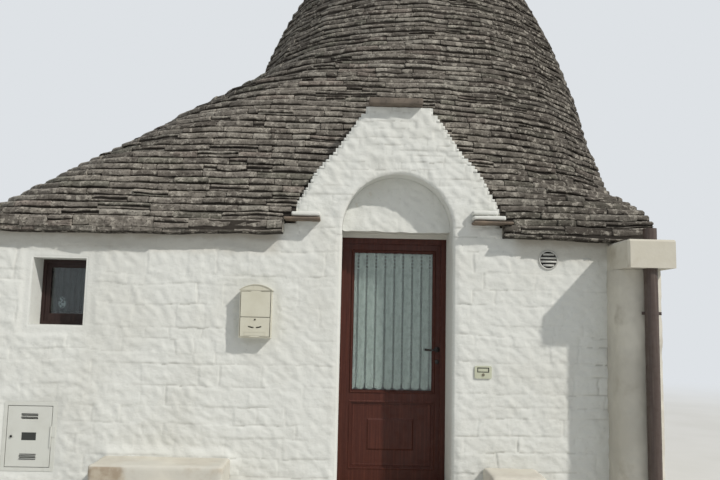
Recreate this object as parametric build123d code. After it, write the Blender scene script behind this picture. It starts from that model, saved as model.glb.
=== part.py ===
from build123d import *
import math
import os

# A trullo: a dry-stone house with whitewashed walls and a corbelled cone of grey limestone slabs.
# Millimetres. X runs along the street front, +Y into the house, +Z up.
# The origin is on the ground under the tip of the cone. The street front faces -Y.

# House body
FRONT_Y = -2400.0            # street face of the front wall
BACK_Y = 2400.0              # outer face of the back wall
LEFT_X = -3800.0             # outer face of the free end wall
PARTY_X = 1750.0             # outer face of the party wall, where the next house begins
WALL_TOP = 2200.0            # level of the eaves
FRONT_THICKNESS = 1050.0     # front and back walls, double leaf with rubble fill
END_THICKNESS = 480.0        # free end wall
CORNER_ROUNDING = 60.0       # limewashed outer corners of the free end
JAMB_CHAMFER = 15.0          # limewashed edge of the jambs and the arch
PARTY_THICKNESS = 450.0      # party wall
FLOOR_LEVEL = 160.0          # top of the stone floor above the street

# Doorway and its arched recess
DOOR_X = -305.0              # middle of the doorway
RECESS_WIDTH = 900.0         # clear width between the whitewashed jambs
RECESS_DEPTH = 400.0         # street face to the face of the door frame
ARCH_SPRING_RISE = 55.0      # the arch starts this far above the eaves
ARCH_SPRING = WALL_TOP + ARCH_SPRING_RISE
LINTEL_HEIGHT = 35.0         # plastered band over the door frame
LINTEL_PROUD = 20.0          # the band stands in front of the door frame
TYMPANUM_THICKNESS = 320.0   # masonry half disc above the door, flush with the gable's back

# Stepped gable over the door
GABLE_DEPTH = 500.0          # street face to its back, inside the roof
GABLE_RISE = 1060.0          # eaves to the underside of the capping slab
GABLE_TOP = WALL_TOP + GABLE_RISE
GABLE_BASE_HALF = 840.0      # half width at the eaves
GABLE_FOOT_HALF = 820.0      # half width at the foot slabs
GABLE_FOOT_RISE = 230.0      # foot slabs above the eaves
GABLE_SHOULDER_HALF = 655.0  # half width at the lower shoulder
GABLE_SHOULDER_RISE = 520.0
GABLE_WAIST_HALF = 500.0     # half width at the upper shoulder
GABLE_WAIST_RISE = 695.0
GABLE_TOP_HALF = 255.0       # half width at the top
GABLE_COURSES = 18           # the sides step in by one small tooth at each course

GABLE_CAP_WIDTH = 450.0      # dark capping slab
GABLE_CAP_THICKNESS = 65.0
GABLE_CAP_PROUD = 90.0
GABLE_CAP_SHIFT = -35.0      # the slab lies a little to the left
GABLE_CAP_TAIL = 420.0       # how far it runs back over the gable

FOOT_SLAB_LENGTH = 330.0     # white drip slabs at the feet of the gable
FOOT_SLAB_THICKNESS = 45.0
FOOT_SLAB_PROUD = 150.0
FOOT_SLAB_BEARING = 120.0    # how far they are built into the wall
FOOT_SLAB_OUT = 920.0        # outer end from the middle of the doorway
FOOT_SLAB_RISE = 80.0        # underside above the eaves
FOOT_SLAB_SETBACK = 60.0     # each layer is shorter than the one under it
FOOT_SLAB_DRAWBACK = 35.0    # and stands less proud
FOOT_SLABS_LEFT = 2          # layers at the left foot
FOOT_SLABS_RIGHT = 3         # layers at the right foot

# Roof
CONE_RADIUS = 1935.0         # radius where the ogive starts
OGIVE_START_RISE = 800.0     # eaves to the start of the ogive
OGIVE_START = WALL_TOP + OGIVE_START_RISE
OGIVE_RISE = 3750.0          # ogive start to the theoretical tip
OGIVE_POWER = 1.86
ROUND_RISE = 1850.0          # eaves to the level where every course is a full circle
ROUND_LEVEL = WALL_TOP + ROUND_RISE
FRONT_FLARE = 575.0          # extra reach at the eaves, to the street and to the back
FRONT_FLARE_POWER = 1.7
LEFT_FLARE = 1985.0          # extra reach at the eaves over the side room
LEFT_FLARE_POWER = 1.15
RIGHT_FLARE = 1270.0         # extra reach towards the next house, cut off at the party line
RIGHT_FLARE_POWER = 3.4
CORNER_SHARE_EAVES = 0.18    # corner radius as a share of the half depth, at the eaves
CORNER_SHARE_ROUND = 0.985   # and where the courses are round
LEFT_CORNER_POWER = 1.28
RIGHT_CORNER_POWER = 0.76
RIGHT_ROUND_SHARE = 0.27     # the right corners are round at this share of the skirt's height
CORNER_CHORDS = 5            # slabs are straight, so each corner of a course is laid in chords
EAVES_COURSE = 80.0          # thick slabs along the eaves
LOW_RISE = 1100.0            # up to here each step is one slab high, above it two
LOW_COURSES = 17
HIGH_COURSES = 7             # from there to the top of the skirt
CONE_COURSES = 12            # between the skirt and the solid top
TOP_COURSES = 9              # solid top
TIP_CUT = 450.0              # the cone stops this far under the theoretical tip
CONE_TOP_LEVEL = OGIVE_START + OGIVE_RISE - TIP_CUT
SOLID_TOP_HEIGHT = 1000.0    # the top of the cone is solid masonry
CONE_SPLIT_LEVEL = CONE_TOP_LEVEL - SOLID_TOP_HEIGHT

DOME_RADIUS = 1280.0         # corbelled inner dome
DOME_RISE = 3000.0           # eaves to where its curve would meet
DOME_CLOSED = WALL_TOP + 2800.0
DOME_POWER = 1.7
DOME_BANDS = 7
RING_CHORDS = 24             # sides of a round course of the dome and of the pinnacle
DISC_SIDES = 32              # sides of a small round plate
BEYOND = 300.0               # how far cutting blocks reach past what they cut

CAPSTONE_HEIGHT = 120.0
CAPSTONE_OVERHANG = 50.0
PINNACLE_STEM_HEIGHT = 330.0
PINNACLE_FOOT_RADIUS = 125.0
PINNACLE_NECK_RADIUS = 80.0
PINNACLE_DISC_RADIUS = 190.0
PINNACLE_DISC_THICKNESS = 60.0
PINNACLE_DISC_BEVEL = 18.0
PINNACLE_DISC_SLOPE = 5.0    # fall of its upper and lower faces
PINNACLE_BALL_RADIUS = 130.0
PINNACLE_BALL_SINK = 26.0    # the ball is bedded in the disc
PINNACLE_BALL_END = math.radians(80)
PINNACLE_BANDS = 5

# Seats, pier and downpipe
BENCH_DEPTH = 380.0
LEFT_BENCH_FROM_JAMB = 815.0
LEFT_BENCH_LENGTH = 990.0
LEFT_BENCH_HEIGHT = 445.0
RIGHT_BENCH_FROM_JAMB = 235.0
RIGHT_BENCH_LENGTH = 420.0
RIGHT_BENCH_HEIGHT = 400.0
BENCH_EDGE_RADIUS = 25.0

PIER_X = 1390.0
PIER_WIDTH = 330.0
PIER_PROUD = 310.0
PIER_HEIGHT = 1950.0
PIER_ROUNDING = 110.0
PIER_CAP_X = 1390.0
PIER_CAP_PROUD = 450.0
PIER_CAP_THICKNESS = 215.0
PIER_CAP_BEVEL = 16.0
PIER_CAP_CLEARANCE = 30.0    # the roof slabs stay clear of the cap

PIPE_X = 1590.0
PIPE_RADIUS = 50.0
PIPE_WALL = 3.0
PIPE_GAP = 8.0               # between the pipe and the pier
PIPE_STUB = 90.0             # socket above the cap
CLAMP_LEVEL = 1600.0
CLAMP_HEIGHT = 24.0
CLAMP_THICKNESS = 3.0
CLAMP_EAR = 22.0

# Front door
FRAME_DEPTH = 70.0
FRAME_FACE = 35.0
FRAME_LIP = 12.0
FRAME_TOP = ARCH_SPRING - LINTEL_HEIGHT
LEAF_GAP = 5.0
LEAF_THICKNESS = 45.0
LEAF_STILE = 62.0
LEAF_TOP_RAIL = 75.0
LEAF_MID_RAIL = 90.0
LEAF_BOTTOM_RAIL = 130.0
GLASS_BOTTOM = 920.0         # lower edge of the glass above the street
GLASS_THICKNESS = 5.0
PANEL_THICKNESS = 22.0
PANEL_FIELD_INSET = 130.0    # plain border round the raised field
PANEL_FIELD_RISE = 8.0
PANEL_FIELD_BEVEL = 6.0
BEAD_WIDTH = 12.0            # glazing and panel beads, street side
BEAD_SINK = 5.0              # behind the face of the leaf
CURTAIN_THICKNESS = 3.0
CURTAIN_SIDE_GAP = 4.0
CURTAIN_HEM = 15.0           # hem above the lower edge of the glass
HINGE_RADIUS = 8.0
HINGE_HEIGHT = 60.0
HINGE_SPACING = 1500.0
HINGE_FLAP = 20.0
HINGE_PLAY = 0.3
HINGE_STANDOFF = 1.0         # barrel clear of the back of the frame
HANDLE_LEVEL = 1280.0
HANDLE_BACKSET = 32.0
HANDLE_LENGTH = 115.0
HANDLE_RADIUS = 8.5          # half the thickness of the bar
HANDLE_BEVEL = 4.0
HANDLE_STANDOFF = 42.0
ROSETTE_RADIUS = 24.0
ROSETTE_THICKNESS = 8.0
SPINDLE_RADIUS = 6.0
LOCK_DROP = 103.0            # lock cylinder below the lever
LOCK_RADIUS = 14.0
LOCK_RISE = 5.0

# Side window
WINDOW_X = -2991.0           # middle of the opening
WINDOW_WIDTH = 418.0
WINDOW_BOTTOM = 1430.0
WINDOW_HEIGHT = 530.0
WINDOW_RECESS = 200.0
WINDOW_FRAME_DEPTH = 60.0
WINDOW_FRAME_FACE = 28.0
WINDOW_SASH_FACE = 38.0
WINDOW_SASH_STEP = 10.0
WINDOW_BOTTOM_FACE = 62.0
WINDOW_GLASS = 4.0

# Meter cabinet
METER_X = -3140.0
METER_WIDTH = 360.0
METER_BOTTOM = 330.0
METER_HEIGHT = 480.0
METER_DEPTH = 150.0
METER_WALL = 6.0
METER_FLANGE = 22.0
METER_FLANGE_THICKNESS = 5.0
METER_DOOR_THICKNESS = 10.0
METER_SLOT_WIDTH = 128.0
METER_SLOT_HEIGHT = 8.0
METER_SLOT_PITCH = 24.0
METER_SLOT_EDGE = 70.0
METER_VIEW_WIDTH = 112.0
METER_VIEW_HEIGHT = 60.0
METER_VIEW_LEVEL = 570.0
METER_PANE_SINK = 3.0        # the pane lies behind the face of the door
METER_CORNER = 8.0
METER_LOCK_INSET = 48.0
METER_LOCK_RADIUS = 10.0
METER_LOCK_RISE = 3.0
METER_PIN_RADIUS = 5.0
METER_KNUCKLE = 80.0

# Letter box
BOX_X = -1417.0
BOX_WIDTH = 245.0
BOX_BOTTOM = 1360.0
BOX_SHOULDER = 375.0         # height of the straight sides
BOX_CROWN = 40.0             # rise of the curved top
BOX_DEPTH = 100.0
BOX_WALL = 3.0
BOX_DIVIDER = 160.0          # edge between the lower door and the flap, above the bottom
BOX_FRONT_GAP = 5.0
BOX_SHEET = 3.0
BOX_PIN_RADIUS = 3.0
BOX_HOOD_THICKNESS = 4.0     # curved sheet over the top
BOX_HOOD_SIDE = 7.0
BOX_HOOD_FRONT = 6.0
BOX_LOCK_DROP = 16.0         # lock below the upper edge of the lower door
BOX_LOCK_RADIUS = 8.0
BOX_LOCK_RISE = 3.0
BOX_SLOT_DROP = 79.0         # the two curved sight slots below that edge
BOX_SLOT_GAP = 9.0           # half the bridge between them
BOX_SLOT_REACH = 51.0
BOX_SLOT_HEIGHT = 10.0
BOX_SLOT_CURVE = 150.0
BOX_LABEL_WIDTH = 170.0      # raised frame for a name card
BOX_LABEL_HEIGHT = 28.0
BOX_LABEL_RIM = 3.0
BOX_LABEL_RISE = 2.0
BOX_LABEL_DROP = 126.0       # middle of the frame below the upper edge of the lower door

# Bell plate and vent
BELL_FROM_JAMB = 242.0       # middle of the plate from the right jamb
BELL_Z = 1126.0
BELL_WIDTH = 135.0
BELL_HEIGHT = 98.0
BELL_THICKNESS = 14.0
BELL_CORNER = 12.0
BELL_CARD_WIDTH = 88.0       # sunk name card above the button
BELL_CARD_HEIGHT = 32.0
BELL_CARD_SINK = 2.0
BELL_BUTTON_RADIUS = 11.0
BELL_BUTTON_RISE = 4.0
BELL_BUTTON_LENGTH = 8.0
BELL_BORE_DEPTH = 7.0
BELL_BORE_PLAY = 0.5
VENT_X = 915.0
VENT_DROP = 170.0            # middle of the vent below the eaves
VENT_Z = WALL_TOP - VENT_DROP
VENT_RADIUS = 80.0
VENT_RIM = 10.0
VENT_THICKNESS = 12.0
VENT_DUCT = 150.0            # depth of the duct behind the grille
VENT_BARS = 5
VENT_BLADE = 13.0            # length of a louvre blade across its slope
VENT_BLADE_THICKNESS = 3.0
VENT_BLADE_TILT = 50.0


def box(x0, x1, y0, y1, z0, z1):
    """Solid block between two corners."""
    block = Box(x1 - x0, y1 - y0, z1 - z0)
    return Pos((x0 + x1) / 2, (y0 + y1) / 2, (z0 + z1) / 2) * block


def upright(points, y0, y1):
    """Prism of an outline in the XZ plane between two depths."""
    wire = Wire.make_polygon([Vector(x, y0, z) for x, z in points])
    return extrude(Face(wire), amount=y1 - y0, dir=(0, 1, 0))


def turned(along):
    """Turn from the Z axis to another axis."""
    return {"Z": Rot(0, 0, 0), "Y": Rot(-90, 0, 0), "X": Rot(0, 90, 0)}[along]


def rod(x, y, z, radius, length, along="Z"):
    """Cylinder that starts at a point and runs along an axis."""
    cylinder = Cylinder(radius, length, align=(Align.CENTER, Align.CENTER, Align.MIN))
    return Pos(x, y, z) * turned(along) * cylinder


def disc(x, y, z, radius, length, along="Z"):
    """Round plate laid in flat sides, placed as a rod is."""
    plate = extrude(RegularPolygon(radius, DISC_SIDES), amount=length)
    return Pos(x, y, z) * turned(along) * plate


def edges_near(shape, along, spot, number=1):
    """Edges that run along an axis, those with their middle nearest a point first."""
    target = Vector(*spot)
    found = shape.edges().filter_by(along)
    return found.sort_by(lambda edge: (edge.center() - target).length)[:number]


def jamb(side):
    """Whitewashed jamb of the doorway: side -1 is the left one."""
    return DOOR_X + side * RECESS_WIDTH / 2


# Roof form

def cone_radius(z):
    """Outer radius of the ogive at a level."""
    rise = max(0.0, (z - OGIVE_START) / OGIVE_RISE)
    return CONE_RADIUS * (1 - rise ** OGIVE_POWER)


def dome_radius(z):
    """Inner radius of the corbelled dome at a level."""
    rise = (z - WALL_TOP) / DOME_RISE
    return DOME_RADIUS * (1 - rise ** DOME_POWER)


def roof_reach(z):
    """Reach of a course from the axis to the left, right and front, and its corner radii."""
    share = min(1.0, (z - WALL_TOP) / (ROUND_LEVEL - WALL_TOP))
    radius = cone_radius(z)
    left = radius + LEFT_FLARE * (1 - share) ** LEFT_FLARE_POWER
    right = radius + RIGHT_FLARE * (1 - share) ** RIGHT_FLARE_POWER
    front = radius + FRONT_FLARE * (1 - share) ** FRONT_FLARE_POWER
    growth = CORNER_SHARE_ROUND - CORNER_SHARE_EAVES
    right_share = min(1.0, share / RIGHT_ROUND_SHARE)
    left_corner = front * (CORNER_SHARE_EAVES + growth * share ** LEFT_CORNER_POWER)
    right_corner = front * (CORNER_SHARE_EAVES + growth * right_share ** RIGHT_CORNER_POWER)
    return left, right, front, left_corner, min(right_corner, CORNER_SHARE_ROUND * right)


def course_face(z, bed):
    """Outline of the form at a level, drawn on a bed: straight runs and corners laid in chords."""
    left, right, front, left_corner, right_corner = roof_reach(z)
    corners = [
        (right, front, right_corner),
        (-left, front, left_corner),
        (-left, -front, left_corner),
        (right, -front, right_corner),
    ]
    points = []
    for quarter, (x, y, radius) in enumerate(corners):
        centre = Vector(x - math.copysign(radius, x), y - math.copysign(radius, y), bed)
        for i in range(CORNER_CHORDS + 1):
            turn = math.pi / 2 * (quarter + i / CORNER_CHORDS)
            points.append(centre + Vector(radius * math.cos(turn), radius * math.sin(turn), 0))
    return Face(Wire.make_polygon(points))


def bands(low, high, count):
    """Evenly spaced levels from low to just under high."""
    return [low + (high - low) * i / count for i in range(count)]


def course_beds():
    """Beds of the courses from the eaves to the top of the cone."""
    beds = [WALL_TOP]
    beds += bands(WALL_TOP + EAVES_COURSE, WALL_TOP + LOW_RISE, LOW_COURSES)
    beds += bands(WALL_TOP + LOW_RISE, ROUND_LEVEL, HIGH_COURSES)
    beds += bands(ROUND_LEVEL, CONE_SPLIT_LEVEL, CONE_COURSES)
    beds += bands(CONE_SPLIT_LEVEL, CONE_TOP_LEVEL, TOP_COURSES)
    return [*beds, CONE_TOP_LEVEL]


def roof_body():
    """Solid outer form of the whole roof in stepped courses, cut off at the party line."""
    beds = course_beds()
    courses = []
    for low, high in zip(beds, beds[1:]):
        level = low if low == WALL_TOP else (low + high) / 2
        courses.append(extrude(course_face(level, low), amount=high - low, dir=(0, 0, 1)))
    body = courses[0].fuse(*courses[1:])
    left, _, front, _, _ = roof_reach(WALL_TOP)
    party = box(
        -left - BEYOND, PARTY_X, -front - BEYOND, front + BEYOND,
        WALL_TOP - BEYOND, CONE_TOP_LEVEL + BEYOND,
    )
    return body & party


def plane_sided(sections):
    """Loft through outlines whose matching sides are parallel, with true planes for its sides."""
    body = loft(sections, ruled=True)
    return Solid(Shell([Face(face.outer_wire()) for face in body.faces()]))


def ringed(profile):
    """Solid about the axis of the cone, each ring laid in chords, from radius and level pairs."""
    rings = []
    for radius, z in profile:
        turns = [2 * math.pi * i / RING_CHORDS for i in range(RING_CHORDS)]
        points = [Vector(radius * math.cos(turn), radius * math.sin(turn), z) for turn in turns]
        rings.append(Face(Wire.make_polygon(points)))
    return plane_sided(rings)


def dome_solid():
    """Space inside the corbelled dome, closed by one flat slab."""
    levels = [*bands(WALL_TOP, DOME_CLOSED, DOME_BANDS), DOME_CLOSED]
    return ringed([(dome_radius(z), z) for z in levels])


def gable_half(z):
    """Half width of the gable at a level."""
    corners = [
        (WALL_TOP, GABLE_BASE_HALF),
        (WALL_TOP + GABLE_FOOT_RISE, GABLE_FOOT_HALF),
        (WALL_TOP + GABLE_SHOULDER_RISE, GABLE_SHOULDER_HALF),
        (WALL_TOP + GABLE_WAIST_RISE, GABLE_WAIST_HALF),
        (GABLE_TOP, GABLE_TOP_HALF),
    ]
    for (low, low_half), (high, high_half) in zip(corners, corners[1:]):
        if z <= high:
            return low_half + (high_half - low_half) * (z - low) / (high - low)
    return GABLE_TOP_HALF


def gable_prism(y0, y1):
    """Full outline of the gable between two depths, stepped at each course."""
    course = (GABLE_TOP - WALL_TOP) / GABLE_COURSES
    half = []
    for low in bands(WALL_TOP, GABLE_TOP, GABLE_COURSES):
        reach = gable_half(low + course / 2)
        half += [(reach, low), (reach, low + course)]
    right = [(DOOR_X + w, z) for w, z in half]
    left = [(DOOR_X - w, z) for w, z in reversed(half)]
    return upright(right + left, y0, y1)


def recess_solid(y0, y1, low):
    """Arched space of the doorway between two depths."""
    return box(jamb(-1), jamb(1), y0, y1, low, ARCH_SPRING) + half_disc(y0, y1)


def half_disc(y0, y1):
    """Upper half of the arch as a solid disc between two depths."""
    radius = RECESS_WIDTH / 2
    disc = rod(DOOR_X, y0, ARCH_SPRING, radius, y1 - y0, "Y")
    return disc & box(jamb(-1), jamb(1), y0, y1, ARCH_SPRING, ARCH_SPRING + radius)


def foot_slabs(side):
    """Layered drip slabs at one foot of the gable, each layer set back over the one under it."""
    inner = DOOR_X + side * (FOOT_SLAB_OUT - FOOT_SLAB_LENGTH)
    stack = None
    for layer in range(FOOT_SLABS_LEFT if side < 0 else FOOT_SLABS_RIGHT):
        outer = DOOR_X + side * (FOOT_SLAB_OUT - layer * FOOT_SLAB_SETBACK)
        low = WALL_TOP + FOOT_SLAB_RISE + layer * FOOT_SLAB_THICKNESS
        slab = box(
            min(outer, inner), max(outer, inner),
            FRONT_Y - FOOT_SLAB_PROUD + layer * FOOT_SLAB_DRAWBACK, FRONT_Y + FOOT_SLAB_BEARING,
            low, low + FOOT_SLAB_THICKNESS,
        )
        stack = slab if stack is None else stack + slab
    return stack


def foot_clearance(side):
    """Space in front of the wall under one stack of foot slabs, where the eaves stop short."""
    outer = DOOR_X + side * FOOT_SLAB_OUT
    low = WALL_TOP - 1
    ends = sorted((outer, jamb(side)))
    return box(*ends, FRONT_Y - BEYOND, FRONT_Y, low, WALL_TOP + FOOT_SLAB_RISE)


def cap_slab():
    """Dark slab that caps the gable."""
    half = GABLE_CAP_WIDTH / 2
    middle = DOOR_X + GABLE_CAP_SHIFT
    return box(
        middle - half, middle + half,
        FRONT_Y - GABLE_CAP_PROUD, FRONT_Y + GABLE_CAP_TAIL,
        GABLE_TOP, GABLE_TOP + GABLE_CAP_THICKNESS,
    )


def make_roof():
    """Skirt quarters, cone halves, solid top, capstone and pinnacle."""
    cuts = gable_prism(FRONT_Y - BEYOND, FRONT_Y + GABLE_DEPTH) + cap_slab()
    for side in (-1, 1):
        cuts = cuts + foot_slabs(side) + foot_clearance(side)
    cuts = cuts + dome_solid()
    cuts = cuts + pier_cap_block(PIER_CAP_CLEARANCE)
    shell = roof_body() - cuts
    left, _, front, _, _ = roof_reach(WALL_TOP)
    wide = left + BEYOND
    deep = front + BEYOND
    sides = {"left": (-wide, 0), "right": (0, wide)}
    depths = {"front": (-deep, 0), "back": (0, deep)}
    nodes = {}
    for depth, run in depths.items():
        for side, span in sides.items():
            quarter = box(*span, *run, WALL_TOP - BEYOND, ROUND_LEVEL)
            nodes[f"roof_skirt_{depth}_{side}"] = shell & quarter
        half = box(-wide, wide, *run, ROUND_LEVEL, CONE_SPLIT_LEVEL)
        nodes[f"roof_cone_{depth}"] = shell & half
    top = box(-wide, wide, -deep, deep, CONE_SPLIT_LEVEL, CONE_TOP_LEVEL + BEYOND)
    nodes["roof_cone_top"] = shell & top
    capstone = cone_radius(CONE_TOP_LEVEL) + CAPSTONE_OVERHANG
    ends = (CONE_TOP_LEVEL, CONE_TOP_LEVEL + CAPSTONE_HEIGHT)
    nodes["roof_capstone"] = ringed([(capstone, z) for z in ends])
    nodes["pinnacle"] = make_pinnacle(CONE_TOP_LEVEL + CAPSTONE_HEIGHT)
    return nodes


def make_pinnacle(base):
    """Carved finial: waisted stem, bevelled disc and ball, cut from one stone."""
    profile = []
    growth = PINNACLE_FOOT_RADIUS - PINNACLE_NECK_RADIUS
    for i in range(PINNACLE_BANDS + 1):
        share = i / PINNACLE_BANDS
        radius = PINNACLE_NECK_RADIUS + growth * (1 - share) ** 2
        profile.append((radius, base + PINNACLE_STEM_HEIGHT * share))
    disc = base + PINNACLE_STEM_HEIGHT
    top = disc + PINNACLE_DISC_THICKNESS
    slope = PINNACLE_DISC_SLOPE
    side = slope + PINNACLE_DISC_BEVEL
    edge = PINNACLE_DISC_RADIUS - PINNACLE_DISC_BEVEL
    profile += [
        (edge, disc + slope), (PINNACLE_DISC_RADIUS, disc + side),
        (PINNACLE_DISC_RADIUS, top - side), (edge, top - slope),
    ]
    centre = top + PINNACLE_BALL_RADIUS - PINNACLE_BALL_SINK
    start = math.asin((top - centre) / PINNACLE_BALL_RADIUS)
    for i in range(PINNACLE_BANDS + 1):
        turn = start + (PINNACLE_BALL_END - start) * i / PINNACLE_BANDS
        reach = PINNACLE_BALL_RADIUS * math.cos(turn)
        profile.append((reach, centre + PINNACLE_BALL_RADIUS * math.sin(turn)))
    return ringed(profile)


# Walls

def window_opening(y0, y1):
    """Block of the side window between two depths."""
    half = WINDOW_WIDTH / 2
    return box(
        WINDOW_X - half, WINDOW_X + half, y0, y1,
        WINDOW_BOTTOM, WINDOW_BOTTOM + WINDOW_HEIGHT,
    )


def meter_niche():
    """Niche for the meter cabinet."""
    half = METER_WIDTH / 2
    return box(
        METER_X - half, METER_X + half, FRONT_Y - 1, FRONT_Y + METER_DEPTH,
        METER_BOTTOM, METER_BOTTOM + METER_HEIGHT,
    )


def make_walls():
    """Walls, floor and the step in the doorway."""
    inner_front = FRONT_Y + FRONT_THICKNESS
    inner_back = BACK_Y - FRONT_THICKNESS
    inner_left = LEFT_X + END_THICKNESS
    inner_right = PARTY_X - PARTY_THICKNESS
    left = box(LEFT_X, jamb(-1), FRONT_Y, inner_front, 0, WALL_TOP)
    left = fillet(edges_near(left, Axis.Z, (LEFT_X, FRONT_Y, WALL_TOP / 2)), CORNER_ROUNDING)
    left = chamfer(edges_near(left, Axis.Z, (jamb(-1), FRONT_Y, WALL_TOP / 2)), JAMB_CHAMFER)
    left = left - window_opening(FRONT_Y - 1, inner_front + 1) - meter_niche()
    right = box(jamb(1), PARTY_X, FRONT_Y, inner_front, 0, WALL_TOP)
    right = chamfer(edges_near(right, Axis.Z, (jamb(1), FRONT_Y, WALL_TOP / 2)), JAMB_CHAMFER)
    right = right - rod(VENT_X, FRONT_Y - 1, VENT_Z, VENT_RADIUS - VENT_RIM, VENT_DUCT + 1, "Y")
    back = box(LEFT_X, PARTY_X, inner_back, BACK_Y, 0, WALL_TOP)
    back = fillet(edges_near(back, Axis.Z, (LEFT_X, BACK_Y, WALL_TOP / 2)), CORNER_ROUNDING)
    return {
        "front_wall_left": left,
        "front_wall_right": right,
        "back_wall": back,
        "end_wall": box(LEFT_X, inner_left, inner_front, inner_back, 0, WALL_TOP),
        "party_wall": box(inner_right, PARTY_X, inner_front, inner_back, 0, WALL_TOP),
        "floor": box(inner_left, inner_right, inner_front, inner_back, 0, FLOOR_LEVEL),
        "door_step": box(jamb(-1), jamb(1), FRONT_Y, inner_front, 0, FLOOR_LEVEL),
        "tympanum": make_tympanum(FRONT_Y + RECESS_DEPTH),
    }


def make_tympanum(frame_y):
    """Half disc of masonry over the door with the band along its foot."""
    back = FRONT_Y + GABLE_DEPTH
    disc = half_disc(back - TYMPANUM_THICKNESS, back)
    band = box(
        jamb(-1), jamb(1), frame_y - LINTEL_PROUD, back,
        ARCH_SPRING - LINTEL_HEIGHT, ARCH_SPRING,
    )
    return disc + band


def make_gable():
    """Gable wall with its arch, the two foot slabs and the capping slab."""
    back = FRONT_Y + GABLE_DEPTH
    body = gable_prism(FRONT_Y, back) - recess_solid(FRONT_Y - 1, back + 1, WALL_TOP - 1)
    crown = Vector(DOOR_X, FRONT_Y, ARCH_SPRING + RECESS_WIDTH / 2)
    arch = body.edges().filter_by(GeomType.CIRCLE).sort_by(lambda edge: (edge @ 0.5 - crown).length)[:1]
    level = (WALL_TOP + ARCH_SPRING) / 2
    for side in (-1, 1):
        arch += edges_near(body, Axis.Z, (jamb(side), FRONT_Y, level))
    body = chamfer(arch, JAMB_CHAMFER)
    slabs = [foot_slabs(side) for side in (-1, 1)]
    for slab in slabs:
        body = body - slab
    return {"gable": body, "gable_foot_slabs": Compound(slabs), "gable_cap_slab": cap_slab()}


# Seats, pier and pipe

def make_bench(x, length, height):
    """Stone seat against the front wall, with worn upper edges."""
    seat = box(x, x + length, FRONT_Y - BENCH_DEPTH, FRONT_Y, 0, height)
    front_edge = seat.edges().filter_by(Axis.X).group_by(Axis.Z)[-1].sort_by(Axis.Y)[0]
    side_edges = seat.edges().filter_by(Axis.Y).group_by(Axis.Z)[-1]
    return fillet([front_edge, *side_edges], BENCH_EDGE_RADIUS)


def make_pier():
    """Rounded corner pier, its cap block, the downpipe and its clamp."""
    pier = box(PIER_X, PIER_X + PIER_WIDTH, FRONT_Y - PIER_PROUD, FRONT_Y, 0, PIER_HEIGHT)
    corners = pier.edges().filter_by(Axis.Z).sort_by(Axis.Y)[:2]
    pier = fillet(corners, PIER_ROUNDING)
    cap = pier_cap_block()
    top = PIER_HEIGHT + PIER_CAP_THICKNESS
    front = FRONT_Y - PIER_CAP_PROUD
    middle = (PIER_CAP_X + PARTY_X) / 2
    rounded = edges_near(cap, Axis.Z, (PIER_CAP_X, front, (PIER_HEIGHT + top) / 2))
    rounded += edges_near(cap, Axis.X, (middle, front, top))
    rounded += edges_near(cap, Axis.Y, (PIER_CAP_X, FRONT_Y - PIER_CAP_PROUD / 2, top))
    cap = chamfer(rounded, PIER_CAP_BEVEL)
    pipe_y = FRONT_Y - PIER_PROUD - PIPE_GAP - PIPE_RADIUS
    cap = cap - rod(PIPE_X, pipe_y, PIER_HEIGHT - 1, PIPE_RADIUS, PIER_CAP_THICKNESS + 2)
    pipe = rod(PIPE_X, pipe_y, 0, PIPE_RADIUS, top + PIPE_STUB)
    pipe = pipe - rod(PIPE_X, pipe_y, -1, PIPE_RADIUS - PIPE_WALL, top + PIPE_STUB + 2)
    return {"corner_pier": pier, "pier_cap": cap, "downpipe": pipe, "pipe_clamp": make_clamp(pipe_y)}


def pier_cap_block(clear=0.0):
    """Block of the cap on the pier, grown by a clearance for cutting."""
    return box(
        PIER_CAP_X - clear, PARTY_X + clear, FRONT_Y - PIER_CAP_PROUD - clear, FRONT_Y,
        PIER_HEIGHT, PIER_HEIGHT + PIER_CAP_THICKNESS + clear,
    )


def make_clamp(pipe_y):
    """Band round the pipe with two ears and a foot on the pier."""
    outer = PIPE_RADIUS + CLAMP_THICKNESS
    band = disc(PIPE_X, pipe_y, CLAMP_LEVEL, outer, CLAMP_HEIGHT)
    ears = box(
        PIPE_X - outer - CLAMP_EAR, PIPE_X + outer + CLAMP_EAR,
        pipe_y - CLAMP_THICKNESS, pipe_y + CLAMP_THICKNESS,
        CLAMP_LEVEL, CLAMP_LEVEL + CLAMP_HEIGHT,
    )
    foot = box(
        PIPE_X - CLAMP_HEIGHT, PIPE_X + CLAMP_HEIGHT, pipe_y, FRONT_Y - PIER_PROUD,
        CLAMP_LEVEL, CLAMP_LEVEL + CLAMP_HEIGHT,
    )
    bore = rod(PIPE_X, pipe_y, CLAMP_LEVEL - 1, PIPE_RADIUS, CLAMP_HEIGHT + 2)
    return band + ears + foot - bore


# Front door

def door_places():
    """Faces that the door's pieces share."""
    frame_front = FRONT_Y + RECESS_DEPTH
    leaf_front = frame_front + FRAME_LIP + LEAF_GAP
    return {
        "frame_front": frame_front,
        "frame_back": frame_front + FRAME_DEPTH,
        "leaf_front": leaf_front,
        "leaf_back": leaf_front + LEAF_THICKNESS,
        "leaf_left": jamb(-1) + FRAME_FACE + LEAF_GAP,
        "leaf_right": jamb(1) - FRAME_FACE - LEAF_GAP,
        "leaf_low": FLOOR_LEVEL + LEAF_GAP,
        "leaf_high": FRAME_TOP - FRAME_FACE - LEAF_GAP,
        "hinge_x": jamb(-1) + FRAME_FACE + LEAF_GAP,
        "hinge_y": frame_front + FRAME_DEPTH + HINGE_RADIUS + HINGE_STANDOFF,
        "handle_x": jamb(1) - FRAME_FACE - LEAF_GAP - HANDLE_BACKSET,
    }


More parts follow.
